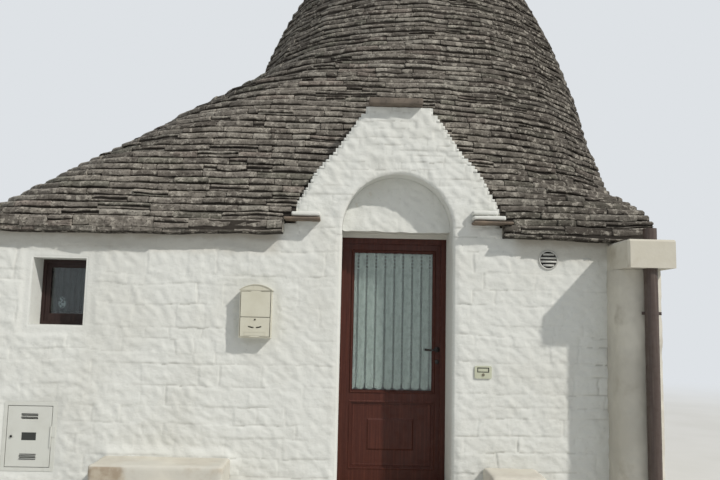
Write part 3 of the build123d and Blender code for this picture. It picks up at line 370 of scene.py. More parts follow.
class Recipe:
    """Node tree of one finish, with short calls for the nodes that it needs."""

    def __init__(self, name: str, base: Tint, roughness: float) -> None:
        """Starts a finish.

        Args:
            name: Name of the finish.
            base: Colour on the shader until something is linked.
            roughness: Roughness on the shader until something is linked.
        """
        self.material = bpy.data.materials.new(name)
        self.material.use_nodes = True
        self.tree = self.material.node_tree
        self.shader = self.tree.nodes["Principled BSDF"]
        self.shader.inputs["Base Color"].default_value = (*base, 1)
        self.shader.inputs["Roughness"].default_value = roughness
        self.place = self.tree.nodes.new("ShaderNodeTexCoord").outputs["Object"]

    def node(self, kind: str, **settings: object) -> bpy.types.Node:
        """Adds a node with its settings.

        Args:
            kind: Type of node.
            **settings: Its options.

        Returns:
            The node.
        """
        made = self.tree.nodes.new(kind)
        for key, value in settings.items():
            setattr(made, key, value)
        return made

    def put(self, node: bpy.types.Node, key: str | int, value: Value | tuple[float, ...]) -> None:
        """Links a socket, or sets a plain value, on a node's input.

        Args:
            node: The node.
            key: Its input.
            value: Socket or plain value.
        """
        if isinstance(value, Socket):
            self.tree.links.new(value, node.inputs[key])
        else:
            node.inputs[key].default_value = value

    def stretched(self, scale: Triple) -> Socket:
        """Object coordinates scaled differently along each axis.

        Args:
            scale: Factor along each axis.

        Returns:
            The coordinates.
        """
        node = self.node("ShaderNodeMapping")
        self.put(node, "Vector", self.place)
        node.inputs["Scale"].default_value = scale
        return node.outputs[0]

    def grain(
        self, scale: float, detail: float = 4.0, place: Socket | None = None, rough: float = 0.55,
    ) -> Socket:
        """Noise over the object.

        Args:
            scale: Features per metre.
            detail: Octaves.
            place: Coordinates, or None for the object's own.
            rough: How strong the finer octaves are.

        Returns:
            A value from 0 to 1.
        """
        node = self.node("ShaderNodeTexNoise")
        self.put(node, "Vector", place or self.place)
        node.inputs["Scale"].default_value = scale
        node.inputs["Detail"].default_value = detail
        node.inputs["Roughness"].default_value = rough
        return node.outputs[0]

    def cells(self, scale: float) -> Socket:
        """Distance from the edges between scattered cells.

        Args:
            scale: Cells per metre.

        Returns:
            The distance.
        """
        node = self.node("ShaderNodeTexVoronoi", feature="DISTANCE_TO_EDGE")
        self.put(node, "Vector", self.place)
        node.inputs["Scale"].default_value = scale
        return node.outputs["Distance"]

    def height(self, axis: int = 2) -> Socket:
        """Position along one axis, in metres.

        Args:
            axis: 0, 1 or 2 for x, y or z.

        Returns:
            The position.
        """
        node = self.node("ShaderNodeSeparateXYZ")
        self.put(node, 0, self.place)
        return node.outputs[axis]

    def span(
        self, value: Value, low: float, high: float, to_low: float = 0.0, to_high: float = 1.0,
    ) -> Socket:
        """Maps a value from one range to another, held at the ends.

        Args:
            value: Socket to map.
            low: Start of its range.
            high: End of its range.
            to_low: What the start becomes.
            to_high: What the end becomes.

        Returns:
            The mapped socket.
        """
        node = self.node("ShaderNodeMapRange", interpolation_type="SMOOTHSTEP")
        self.put(node, "Value", value)
        for key, number in zip(("From Min", "From Max", "To Min", "To Max"), (low, high, to_low, to_high)):
            node.inputs[key].default_value = number
        return node.outputs["Result"]

    def math(self, kind: str, a: Value, b: Value = 0.0) -> Socket:
        """Math node of a kind on one or two values.

        Args:
            kind: Operation.
            a: First value.
            b: Second value.

        Returns:
            The result.
        """
        node = self.node("ShaderNodeMath", operation=kind)
        self.put(node, 0, a)
        self.put(node, 1, b)
        return node.outputs[0]

    def blend(self, factor: Value, a: Tone, b: Tone) -> Socket:
        """Mixes two colours.

        Args:
            factor: Share of the second.
            a: First colour, as a socket or a tone.
            b: Second colour, as a socket or a tone.

        Returns:
            The mixed colour.
        """
        node = self.node("ShaderNodeMix", data_type="RGBA")
        self.put(node, 0, factor)
        for key, value in ((6, a), (7, b)):
            self.put(node, key, value if isinstance(value, Socket) else (*value, 1))
        return node.outputs[2]

    def times(self, a: Value, b: Value) -> Socket:
        """Product of two values."""
        return self.math("MULTIPLY", a, b)

    def over(self, colour: Tone, mask: Socket, share: float, tone: Tone) -> Socket:
        """Lays a tone over a colour where a mask says so, at a share of its strength."""
        return self.blend(self.times(mask, share), colour, tone)

    def attribute(self, name: str, output: str = "Fac") -> Socket:
        """Values stored on the mesh."""
        return self.node("ShaderNodeAttribute", attribute_name=name).outputs[output]

    def bump(self, value: Value, strength: float, depth: float, under: Socket | None = None) -> Socket:
        """Surface relief.

        Args:
            value: Its heights.
            strength: Share of the effect.
            depth: Depth in metres.
            under: A relief below this one.

        Returns:
            The normal.
        """
        node = self.node("ShaderNodeBump")
        node.inputs["Strength"].default_value = strength
        node.inputs["Distance"].default_value = depth
        self.put(node, "Height", value)
        if under is not None:
            self.put(node, "Normal", under)
        return node.outputs[0]

    def done(
        self, colour: Socket | None = None, roughness: Socket | None = None,
        normal: Socket | None = None, **fixed: float,
    ) -> Finish:
        """Links the surface and sets the sockets that are the same all over.

        Args:
            colour: Colour socket.
            roughness: Roughness socket.
            normal: Normal socket.
            **fixed: Other shader inputs, with underscores for spaces.

        Returns:
            The finished material.
        """
        for key, value in (("Base Color", colour), ("Roughness", roughness), ("Normal", normal)):
            if value is not None:
                self.put(self.shader, key, value)
        for key, value in fixed.items():
            self.shader.inputs[key.replace("_", " ")].default_value = value
        return self.material


@dataclass(frozen=True)
class Limewash:
    """Many coats of lime over stone: soft white, painted shade along the joints, stained at the eaves and
    foot, greyer just below the eaves.
    """
    name: str = "limewash"
    white: Tint = srgb(213, 214, 209)
    worn: Tint = srgb(192, 190, 180)
    joint_shade: Tint = srgb(150, 148, 140)
    stain: Tint = srgb(128, 108, 84)
    eaves: float = 2.2
    stained: bool = True
    door: float = -0.305
    clear: Pair = (0.90, 1.02)  # Distance from the door's middle where the eaves' stain and the grey band below them set in
    brushed: float = 0.0062

    def make(self) -> Finish:
        """Builds the finish.

        Returns:
            The material.
        """
        r = Recipe(self.name, self.white, 0.92)
        patches = r.span(r.grain(1.7, 6), 0.40, 0.70)
        colour = r.over(self.white, patches, 0.30, self.worn)
        specks = r.span(r.grain(38, 4), 0.58, 0.76)
        colour = r.over(colour, specks, 0.16, self.joint_shade)
        # Painted shade along the joints, strongest at the stones' lower edges
        colour = r.over(colour, r.attribute("joint_shade"), 0.62, self.joint_shade)
        if self.stained:
            edge = r.math("ADD", r.height(), r.times(r.grain(9, 4), 0.09))
            beside = r.math("ABSOLUTE", r.math("SUBTRACT", r.height(0), self.door))
            beside = r.span(beside, *self.clear)
            band = r.times(r.span(edge, self.eaves - 0.045, self.eaves + 0.02), beside)
            colour = r.over(colour, band, 0.45, self.stain)
            # Greyer band just below the eaves, fading out 0.17 m under their line
            grey_below_eaves = r.times(r.span(edge, self.eaves - 0.17, self.eaves - 0.08), beside)
            colour = r.over(colour, grey_below_eaves, 0.42, srgb(176, 170, 156))
            runs = r.span(r.grain(1.0, 4, r.stretched((16, 16, 0.9))), 0.60, 0.78)
            high = r.span(r.height(), self.eaves - 0.55, self.eaves)
            colour = r.over(colour, r.times(runs, high), 0.10, self.stain)
            foot = r.math("SUBTRACT", r.height(), r.times(r.grain(5, 5), 0.34))
            foot = r.span(foot, -0.20, 0.16, 1.0, 0.0)
            colour = r.over(colour, foot, 0.22, srgb(168, 162, 148))
        relief = r.bump(r.grain(17, 6, None, 0.62), 0.75, self.brushed)
        relief = r.bump(r.grain(1.0, 4, r.stretched((34, 34, 62))), 0.55, self.brushed / 2, relief)
        return r.done(colour=colour, normal=relief, Specular_IOR_Level=0.15)


@dataclass(frozen=True)
class RoofStone:
    """Weathered limestone: each slab its own tone with painted shade and light round its section, lichen,
    pale scuffs, painted shade over the roof's right side, and darker higher up.
    """
    name: str = "roof_stone"
    lichen: Tint = srgb(97, 96, 84)
    pale: Tint = srgb(176, 170, 159)
    dark: Tint = srgb(52, 47, 42)

    def make(self) -> Finish:
        """Builds the finish.

        Returns:
            The material.
        """
        r = Recipe(self.name, srgb(116, 110, 102), 0.95)
        # Each slab's tone, with the painted shade and light of its section
        colour = r.attribute("slab_tone_and_shade", "Color")
        cloud = r.span(r.grain(12, 6, None, 0.65), 0.40, 0.66)
        colour = r.over(colour, cloud, 0.52, self.dark)
        strata = r.span(r.grain(1.0, 5, r.stretched((7, 7, 64))), 0.54, 0.68)
        colour = r.over(colour, strata, 0.42, self.dark)
        # Painted shade: the right side of the roof is darkened towards x = 1.0, as in a cast shadow; it also
        # gets darker higher up
        right = r.span(r.height(0), 0.1, 1.0, 0.0, 0.52)
        painted_shade_and_dark_top = r.math("ADD", right, r.span(r.height(), 3.2, 4.6, 0.0, 0.14))
        colour = r.blend(painted_shade_and_dark_top, colour, self.dark)
        lichen = r.span(r.grain(2.6, 7, None, 0.7), 0.50, 0.68)
        colour = r.over(colour, lichen, 0.22, self.lichen)
        scuffs = r.span(r.grain(19, 6, None, 0.7), 0.51, 0.62)
        colour = r.over(colour, scuffs, 0.66, self.pale)
        pits = r.span(r.grain(62, 4), 0.53, 0.66)
        colour = r.over(colour, pits, 0.66, self.dark)
        relief = r.bump(r.grain(30, 7, None, 0.65), 0.9, 0.011)
        relief = r.bump(r.grain(140, 3), 0.6, 0.002, relief)
        return r.done(colour=colour, normal=relief, Specular_IOR_Level=0.18)


@dataclass(frozen=True)
class BareStone:
    """Cut stone without limewash."""
    name: str
    base: Tint
    second: Tint
    dark: Tint
    mottle: float = 5.0
    roughness: float = 0.9
    relief: float = 0.003
    lining: Tint | None = None

    def make(self) -> Finish:
        """Builds the finish.

        Returns:
            The material.
        """
        r = Recipe(self.name, self.base, self.roughness)
        colour = r.blend(r.span(r.grain(self.mottle, 6), 0.38, 0.64), self.base, self.second)
        spots = r.span(r.grain(self.mottle * 6, 5), 0.56, 0.70)
        colour = r.over(colour, spots, 0.55, self.dark)
        cracks = r.span(r.cells(self.mottle * 2.2), 0.0, 0.02, 1.0, 0.0)
        colour = r.over(colour, cracks, 0.18, self.dark)
        if self.lining:
            outward = r.node("ShaderNodeVectorMath", operation="DOT_PRODUCT")
            r.put(outward, 0, r.node("ShaderNodeNewGeometry").outputs["Normal"])
            r.put(outward, 1, r.place)
            colour = r.blend(r.span(outward.outputs["Value"], -0.05, 0.0, 1.0, 0.0), colour, self.lining)
        relief = r.bump(r.grain(26, 7), 0.7, self.relief)
        relief = r.bump(r.grain(170, 3), 0.4, self.relief / 4, relief)
        return r.done(colour=colour, normal=relief, Specular_IOR_Level=0.2)


@dataclass(frozen=True)
class LimedStone:
    """Cut stone whose upper faces and edges carry limewash, worn thin on the front."""
    name: str
    white: Tint
    stone: Tint
    dark: Tint
    bare: float = 0.5

    def make(self) -> Finish:
        """Builds the finish.

        Returns:
            The material.
        """
        r = Recipe(self.name, self.white, 0.92)
        stone = r.blend(r.span(r.grain(11, 5), 0.40, 0.66), self.stone, self.dark)
        facing = r.node("ShaderNodeNewGeometry")
        split = r.node("ShaderNodeSeparateXYZ")
        r.put(split, 0, facing.outputs["Normal"])
        top = r.span(split.outputs[2], 0.25, 0.75)
        thin = r.span(r.grain(3.4, 6), 0.62 - self.bare * 0.36, 0.80 - self.bare * 0.36)
        bare = r.times(thin, r.span(top, 0.0, 1.0, 1.0, 0.25))
        white = r.blend(r.span(r.grain(2.3, 4), 0.4, 0.7), self.white, srgb(204, 200, 188))
        colour = r.blend(bare, white, stone)
        relief = r.bump(r.grain(22, 6), 0.6, 0.004)
        return r.done(colour=colour, normal=relief, Specular_IOR_Level=0.16)


@dataclass(frozen=True)
class GlossPaint:
    """Painted timber or metal: faint brush lines, dust and rubbed places."""
    name: str
    base: Tint
    worn: Tint
    roughness: float = 0.32
    coat: float = 0.25
    metal: float = 0.0
    shine: float = 0.5
    lines: Triple = (90, 90, 3)

    def make(self) -> Finish:
        """Builds the finish.

        Returns:
            The material.
        """
        r = Recipe(self.name, self.base, self.roughness)
        streaks = r.grain(1.0, 5, r.stretched(self.lines))
        colour = r.blend(r.span(streaks, 0.40, 0.72), self.base, self.worn)
        dust = r.span(r.grain(14, 5), 0.55, 0.80)
        colour = r.over(colour, dust, 0.30, self.worn)
        rough = r.span(r.grain(21, 4), 0.3, 0.75, self.roughness * 0.8, self.roughness * 1.45)
        relief = r.bump(streaks, 0.25, 0.0008)
        return r.done(
            colour=colour, roughness=rough, normal=relief, Coat_Weight=self.coat,
            Coat_Roughness=0.2, Metallic=self.metal, Specular_IOR_Level=self.shine,
        )


@dataclass(frozen=True)
class Moulded:
    """Moulded plastic or enamelled sheet that has stood outdoors."""
    name: str
    base: Tint
    grime: Tint
    roughness: float = 0.45
    coat: float = 0.0

    def make(self) -> Finish:
        """Builds the finish.

        Returns:
            The material.
        """
        r = Recipe(self.name, self.base, self.roughness)
        haze = r.span(r.grain(6, 5), 0.42, 0.75)
        colour = r.over(self.base, haze, 0.30, self.grime)
        runs = r.span(r.grain(1.0, 4, r.stretched((55, 55, 5))), 0.58, 0.80)
        colour = r.over(colour, runs, 0.32, self.grime)
        rough = r.span(r.grain(30, 4), 0.3, 0.8, self.roughness * 0.85, self.roughness * 1.3)
        relief = r.bump(r.grain(260, 2), 0.25, 0.0003)
        return r.done(colour=colour, roughness=rough, normal=relief, Coat_Weight=self.coat)


@dataclass(frozen=True)
class Pane:
    """Glass with a little dust in it."""
    name: str
    base: Tint
    transmission: float

    def make(self) -> Finish:
        """Builds the finish.

        Returns:
            The material.
        """
        r = Recipe(self.name, self.base, 0.05)
        dust = r.span(r.grain(9, 5), 0.45, 0.85, 0.03, 0.14)
        relief = r.bump(r.grain(3, 2), 0.05, 0.002)
        return r.done(
            roughness=dust, normal=relief, Transmission_Weight=self.transmission, IOR=1.45,
        )


@dataclass(frozen=True)
class Lace:
    """Fine cotton net, closer where the motif is worked, with denser bands beside its ladders."""
    name: str = "lace"
    base: Tint = srgb(240, 244, 238)
    thread: Tint = srgb(206, 212, 205)
    band: float = 0.078  # From one dense band to the next
    first: float = -0.600
    flower: Pair | None = None  # Middle of a bright motif
    depth: float = 0.55  # Strength of the bands

    def make(self) -> Finish:
        """Builds the finish.

        Returns:
            The material.
        """
        r = Recipe(self.name, self.base, 0.9)
        weave = r.grain(1.0, 2, r.stretched((620, 1, 620)))
        colour = r.blend(r.span(weave, 0.35, 0.65), self.thread, self.base)
        along = r.times(r.math("SUBTRACT", r.height(0), self.first), 2 * math.pi / self.band)
        swell = r.span(r.math("SINE", along), -1.0, 1.0)
        colour = r.over(colour, swell, self.depth, self.thread)
        motif = r.span(r.grain(1.0, 2, r.stretched((30, 1, 17))), 0.46, 0.60)
        colour = r.over(colour, motif, 0.35, tuple(0.62 * c for c in self.thread))
        if self.flower:
            across = r.math("SUBTRACT", r.height(0), self.flower[0])
            upward = r.times(r.math("SUBTRACT", r.height(), self.flower[1]), 0.7)
            far = r.math("ADD", r.times(across, across), r.times(upward, upward))
            petals = r.span(far, 0.0007, 0.0014, 1.0, 0.0)
            bloom = r.times(petals, r.span(r.grain(85, 2), 0.40, 0.56))
            colour = r.blend(bloom, colour, tuple(min(1.0, 3.2 * c) for c in self.base))
        relief = r.bump(weave, 0.5, 0.0006)
        return r.done(
            colour=colour, normal=relief, Alpha=0.93, Sheen_Weight=0.25,
        )


# Walls

class Line:
    """A line on the ground that a wall face follows, with its outward side."""

    def __init__(self, points: list[Pair], closed: bool = False) -> None:
        """Measures the line.

        Args:
            points: Its points; the outward side is on the right of its direction.
            closed: Whether its end meets its start.
        """
        pts = np.array(points + [points[0]] if closed else points, dtype=float)
        runs = np.diff(pts, axis=0)
        lengths = np.linalg.norm(runs, axis=1)
        keep = lengths > 1e-6
        pts = np.vstack([pts[:-1][keep], pts[-1:]])
        runs = runs[keep]
        lengths = lengths[keep]
        side = np.stack([runs[:, 1], -runs[:, 0]], axis=1) / lengths[:, None]
        first = side[-1] if closed else side[0]
        last = side[0] if closed else side[-1]
        before = np.vstack([first, side])
        after = np.vstack([side, last])
        normal = before + after
        self.points = pts
        self.normals = normal / np.linalg.norm(normal, axis=1)[:, None]
        self.stations = np.concatenate([[0.0], np.cumsum(lengths)])
        self.length = float(self.stations[-1])

    def at(self, s: Array) -> tuple[Array, Array]:
        """Points and outward directions at some lengths along the line.

        Args:
            s: Lengths along the line.

        Returns:
            The points and their outward directions.
        """
        place = np.stack([np.interp(s, self.stations, self.points[:, i]) for i in range(2)], axis=-1)
        side = np.stack([np.interp(s, self.stations, self.normals[:, i]) for i in range(2)], axis=-1)
        return place, side / np.linalg.norm(side, axis=-1)[..., None]

    def where(self, x: float, y: float) -> float:
        """Length along the line of the place nearest a point.

        Args:
            x: Its place across.
            y: Its place in depth.

        Returns:
            The length.
        """
        s = np.linspace(0, self.length, 4000)
        place, _ = self.at(s)
        return float(s[np.argmin(np.hypot(place[:, 0] - x, place[:, 1] - y))])


def arc(cx: float, cy: float, radius: float, start: float, end: float, steps: int = 8) -> list[Pair]:
    """Points of an arc between two angles in degrees."""
    turns = [math.radians(start + (end - start) * i / steps) for i in range(steps + 1)]
    return [(cx + radius * math.cos(t), cy + radius * math.sin(t)) for t in turns]


@dataclass
class Rubble:
    """Pattern of roughly coursed stones under limewash."""
    length: float
    height: float
    seed: int
    course: Pair = (0.075, 0.20)
    stone: Pair = (0.14, 0.46)
    proud: Pair = (0.003, 0.011)
    base: float = 0.0
    smear: float = 0.55
    hewn: float = 0.0040
    fan: Pair | None = None
    rows: list[float] = field(default_factory=list)
    ends: Array | None = None

    def __post_init__(self) -> None:
        """Sets out the courses and the joints of each."""
        rng = random.Random(self.seed)
        level = self.base - 0.3
        while level < self.base + self.height + 0.5:
            self.rows.append(level)
            level += rng.uniform(*self.course)
        joints = []
        for _ in self.rows:
            place = -rng.uniform(0.2, 0.7)
            row = []
            while place < self.length + 0.5:
                row.append(place)
                place += rng.uniform(*self.stone)
            joints.append(row)
        longest = max(len(row) for row in joints)
        self.ends = np.array([row + [1e9] * (longest - len(row)) for row in joints])

    def lumps(self, u: Array, z: Array) -> Array:
        """Brushed-on lime: short ridges that lie one way here and another way there.

        Args:
            u: Positions along the wall.
            z: Levels.

        Returns:
            Heights in metres.
        """
        one = ripple((0.82 * u + 0.57 * z) / 1.8, 0.82 * z - 0.57 * u, 0.021, self.seed + 10)
        two = ripple((0.90 * u - 0.44 * z) / 1.8, 0.44 * u + 0.90 * z, 0.024, self.seed + 11)
        share = ease(0.5 + 1.2 * ripple(u, z, 0.7, self.seed + 12))
        if self.fan:
            turn = np.arctan2(z - self.fan[1], u - self.fan[0])
            one = ripple(np.hypot(u - self.fan[0], z - self.fan[1]) / 2.6, turn * 0.66, 0.020, self.seed + 13)
            share = share * 0.35
        broad = ripple(u + 0.4 * z, z, 0.050, self.seed + 6)
        return self.hewn * (0.55 * (one * (1 - share) + two * share) + broad)

    def bed_depth(self, u: Array, row: Array) -> Array:
        """How open a bed joint is along its length: 0 where lime fills it."""
        return ease(0.50 + 0.95 * ripple(u, row * 0.93, 0.27, self.seed + 14))

    def side_depth(self, place: Array, row: Array) -> Array:
        """How open an upright joint is: many are filled."""
        return ease((lattice(place, row, self.seed + 15) - 0.38) / 0.45)

    def relief(self, u: Array, z: Array) -> tuple[Array, Array]:
        """Heights of the limed stones.

        Args:
            u: Positions along the wall.
            z: Levels.

        Returns:
            The height in metres and how far into a joint each point lies, from 0 to 1.
        """
        uw = u + 0.013 * ripple(u, z, 0.17, self.seed) + 0.007 * ripple(u, z, 0.05, self.seed + 1)
        zw = z + 0.017 * ripple(u, z, 0.45, self.seed + 2) + 0.007 * ripple(u, z, 0.07, self.seed + 3)
        rows = np.array(self.rows)
        row = np.clip(np.searchsorted(rows, zw) - 1, 0, len(rows) - 2)
        edges = self.ends[row]
        place = np.clip((edges <= uw[:, None]).sum(axis=1) - 1, 0, edges.shape[1] - 2)
        low = edges[np.arange(len(u)), place]
        high = np.minimum(edges[np.arange(len(u)), place + 1], low + 1.0)
        below = zw - rows[row]
        above = rows[row + 1] - zw
        rise = self.proud[0] + (self.proud[1] - self.proud[0]) * lattice(place, row, self.seed + 7)
        lean = (lattice(place, row, self.seed + 8) - 0.5) * 0.032
        lean_z = (lattice(place, row, self.seed + 9) - 0.5) * 0.05
        under = self.bed_depth(uw, row) * (1 - ease(below / 0.010))
        over = self.bed_depth(uw, row + 1) * (1 - ease(above / 0.019))
        left = self.side_depth(place, row) * (1 - ease((uw - low) / 0.010))
        right = self.side_depth(place + 1, row) * (1 - ease((high - uw) / 0.010))
        body = (1 - under) * (1 - 0.7 * over) * (1 - left) * (1 - right)
        body = body * (rise + lean * (uw - (low + high) / 2) + lean_z * np.minimum(below, above))
        smear = 1 - self.smear * ease(0.5 + 0.9 * ripple(u, z, 0.55, self.seed + 4))
        soft = 0.0028 * ripple(u, z, 0.25, self.seed + 5) + self.lumps(u, z)
        # Mask of the painted shade along the joints: the stones' lower edges, and less at open upright joints
        joint_shade = np.maximum(under, 0.45 * np.maximum(left, right)) * smear
        return body * smear + soft + 0.0045, joint_shade


def ruled_lines(low: float, high: float, step: float, marks: list[float]) -> Array:
    """Evenly spaced lines with some moved on to given marks.

    Args:
        low: First line.
        high: Last line.
        step: Spacing.
        marks: Places that must have a line.

    Returns:
        The places of the lines.
    """
    lines = np.linspace(low, high, max(2, round((high - low) / step)) + 1)
    for mark in marks:
        if low < mark < high:
            lines[1 + np.argmin(np.abs(lines[1:-1] - mark))] = mark
    return lines


@dataclass
class WallSkin:
    """Limewashed face of a wall, laid over the solid wall along a line."""
    name: str
    line: Line
    pattern: Rubble
    start: float
    end: float
    low: float
    high: float
    step: float
    rise: float
    openings: list[Rect] = field(default_factory=list)
    calm: list[Rect] = field(default_factory=list)  # Nearly flat places
    cut_start: bool = False  # Turns its first edge into the wall
    cut_end: bool = False
    hump: Rect | None = None  # Start, end, top and swell of the lime behind a seat
    plain: Triple | None = None  # Start, end and level of the plain band

    @staticmethod
    def away(s: Array, z: Array, s0: float, s1: float, z0: float, z1: float) -> Array:
        """Distance of points from a rectangle on the wall, 0 inside it."""
        across = np.maximum(np.maximum(s0 - s, s - s1), 0)
        return np.hypot(across, np.maximum(np.maximum(z0 - z, z - z1), 0))

    def build(self) -> Piece:
        """Makes the face with its openings, their edges turned into the wall.

        Returns:
            The face.
        """
        s_marks = [m for o in self.openings for m in o[:2]]
        z_marks = [m for o in self.openings for m in o[2:]]
        s_lines = ruled_lines(self.start, self.end, self.step, s_marks)
        z_lines = ruled_lines(self.low, self.high, self.rise, z_marks)
        s, z = [grid.ravel() for grid in np.meshgrid(s_lines, z_lines)]
        lift, joint_shade = self.pattern.relief(s, z)
        calm = np.ones_like(s)
        for rect in self.calm:
            calm = np.minimum(calm, 0.08 + 0.92 * ease(self.away(s, z, *rect) / 0.06))
        if self.plain:
            s0, s1, level = self.plain
            wander = level + 0.05 * ripple(s, z * 0, 0.4, 71)
            under = ease((z - wander) / 0.09) * ease((s - s0) / 0.2) * ease((s1 - s) / 0.2)
            calm = calm * (1 - 0.85 * under)
        lift = lift * calm + 0.0012
        joint_shade = joint_shade * calm
        if self.hump:
            s0, s1, top, swell = self.hump
            along = ease((s - s0) / 0.12) * ease((s1 - s) / 0.12)
            lift = lift + swell * along * ease((top - z) / 0.09) * ease((z - top + 0.30) / 0.10)
        edge = np.full_like(s, 9.0)
        if self.cut_start:
            edge = np.minimum(edge, s - self.start)
        if self.cut_end:
            edge = np.minimum(edge, self.end - s)
        for opening in self.openings:
            edge = np.minimum(edge, self.away(s, z, *opening))
        lift = np.where(edge < 1e-6, -0.004, lift * ease(edge / 0.028) + 0.0006)
        place, side = self.line.at(s)
        verts = np.column_stack([place + side * lift[:, None], z])
        columns = len(s_lines)
        mid_s = (s_lines[:-1] + s_lines[1:]) / 2
        mid_z = (z_lines[:-1] + z_lines[1:]) / 2
        faces = []
        for j, level in enumerate(mid_z):
            for i, along in enumerate(mid_s):
                if any(o[0] < along < o[1] and o[2] < level < o[3] for o in self.openings):
                    continue
                a = j * columns + i
                faces.append((a, a + 1, a + 1 + columns, a + columns))
        return with_joint_shade(self.name, verts, faces, joint_shade)


def with_joint_shade(name: str, verts: Array, faces: Faces, joint_shade: Array) -> Piece:
    """Makes a skin and stores how deep in a joint each corner lies, as the mask of the painted joint shade.

    Args:
        name: Name of the piece.
        verts: Corners.
        faces: Faces.
        joint_shade: One value for each corner.

    Returns:
        The skin without its unused corners.
    """
    used = np.unique(np.array(faces).ravel())
    number = np.full(len(verts), -1)
    number[used] = np.arange(len(used))
    obj = mesh_piece(name, verts[used], number[np.array(faces)].tolist())
    store = obj.data.attributes.new("joint_shade", "FLOAT", "POINT")
    store.data.foreach_set("value", joint_shade[used].astype(np.float32))
    return obj


@dataclass
class Walls:
    """Limewashed walls of the house, with the window and the door reveals."""
    front: float = -2.4
    back: float = 2.4
    left: float = -3.8
    party: float = 1.75
    top: float = 2.2
    corner: float = 0.06
    jambs: Pair = (-0.755, 0.145)
    reveal: float = -2.004  # Where the jambs end at the door's frame
    chamfer: float = 0.015
    window: Rect = (-3.2, -2.782, 1.43, 1.96)
    meter: Rect = (-3.342, -2.938, 0.308, 0.832)
    recess: Rect = (-3.331, -2.949, 0.319, 0.821)
    box: Rect = (-1.55, -1.285, 1.355, 1.785)
    bell: Rect = (0.315, 0.459, 1.072, 1.18)
    vent: Rect = (0.83, 1.0, 1.945, 2.115)
    bench: Pair = (-2.62, -1.50)
    margin: float = 0.045  # Calm strip round the window
    smooth_from: float = 2.02  # Level of the plain band under the eaves
    seeds: tuple[int, int] = (11, 23)  # Left and right pattern
    steps: tuple[float, ...] = (0.0098, 0.02, 0.016, 0.024)  # Front, end across and up, back across

    def left_line(self) -> Line:
        """From the party line at the back round the free end to the left reveal."""
        r = self.corner
        return Line([
            (self.party, self.back),
            *arc(self.left + r, self.back - r, r, 90, 180),
            *arc(self.left + r, self.front + r, r, 180, 270),
            (self.jambs[0] - self.chamfer, self.front), (self.jambs[0], self.front + self.chamfer),
            (self.jambs[0], self.reveal),
        ])

    def right_line(self) -> Line:
        """From the right reveal to the party line."""
        return Line([
            (self.jambs[1], self.reveal), (self.jambs[1], self.front + self.chamfer),
            (self.jambs[1] + self.chamfer, self.front), (self.party, self.front),
        ])

    def spot(self, line: Line, rect: Rect) -> Rect:
        """Place of a front rectangle on a line."""
        ends = sorted((line.where(rect[0], self.front), line.where(rect[1], self.front)))
        return (ends[0], ends[1], rect[2], rect[3])

    def build(self, finish: Finish) -> None:
        """Builds the four skins.

        Args:
            finish: The material.
        """
        line = self.left_line()
        pattern = Rubble(line.length, self.top, self.seeds[0])
        turn = line.where(self.left, self.front + 0.2)
        far = line.where(self.left + 0.2, self.back)
        window = self.spot(line, self.window)
        around = [end + side * self.margin for end, side in zip(window, (-1, 1, -1, 1))]
        reveal = (line.where(self.jambs[0] - self.chamfer, self.front) + 0.012, line.length, 0, 3)
        hump = (*self.spot(line, (*self.bench, 0, 0))[:2], 0.530, 0.026)
        fine, end, end_rise, back = (step * 1 for step in self.steps)
        eaves = (-1.0, line.where(self.jambs[0] - 0.40, self.front), self.smooth_from)
        skins = [
            WallSkin(
                "wall_face_front_left", line, pattern, turn, line.length, 0, self.top, fine, fine,
                [window, self.spot(line, self.recess)],
                [around, reveal, self.spot(line, self.meter), self.spot(line, self.box)],
                cut_end=True, hump=hump, plain=eaves,
            ),
            WallSkin("wall_face_end", line, pattern, far, turn, 0, self.top, end, end_rise, plain=eaves),
            WallSkin(
                "wall_face_back", line, pattern, 0, far, 0, self.top, back, end, cut_start=True, plain=eaves,
            ),
        ]
        line = self.right_line()
        reveal = (0, line.where(self.jambs[1] + self.chamfer, self.front) - 0.012, 0, 3)
        eaves = (line.where(self.jambs[1] + 0.40, self.front), line.length + 1, self.smooth_from)
        skins.append(WallSkin(
            "wall_face_front_right", line, Rubble(line.length, self.top, self.seeds[1]), 0, line.length,
            0, self.top, fine, fine, [], [reveal, self.spot(line, self.bell), self.spot(line, self.vent)],
            cut_start=True, cut_end=True, plain=eaves,
        ))
        for skin in skins:
            dress(skin.build(), "house", "whitewash", finish)

    def relief_over(self, u: Array, z: Array) -> tuple[Array, Array]:
        """Relief of the front wall carried on above its top, for what stands on it.

        Args:
            u: Positions across the front.
            z: Levels.

        Returns:
            Heights and how far into a joint each point lies.
        """
        sides = []
        for line, corner, seed in (
            (self.left_line(), self.jambs[0] - self.chamfer, self.seeds[0]),
            (self.right_line(), self.jambs[1] + self.chamfer, self.seeds[1]),
        ):
            start = line.where(corner, self.front) - corner
            sides.append(Rubble(line.length, self.top, seed).relief(start + u, z))
        middle = sum(self.jambs) / 2
        return tuple(np.where(u < middle, left, right) for left, right in zip(*sides))


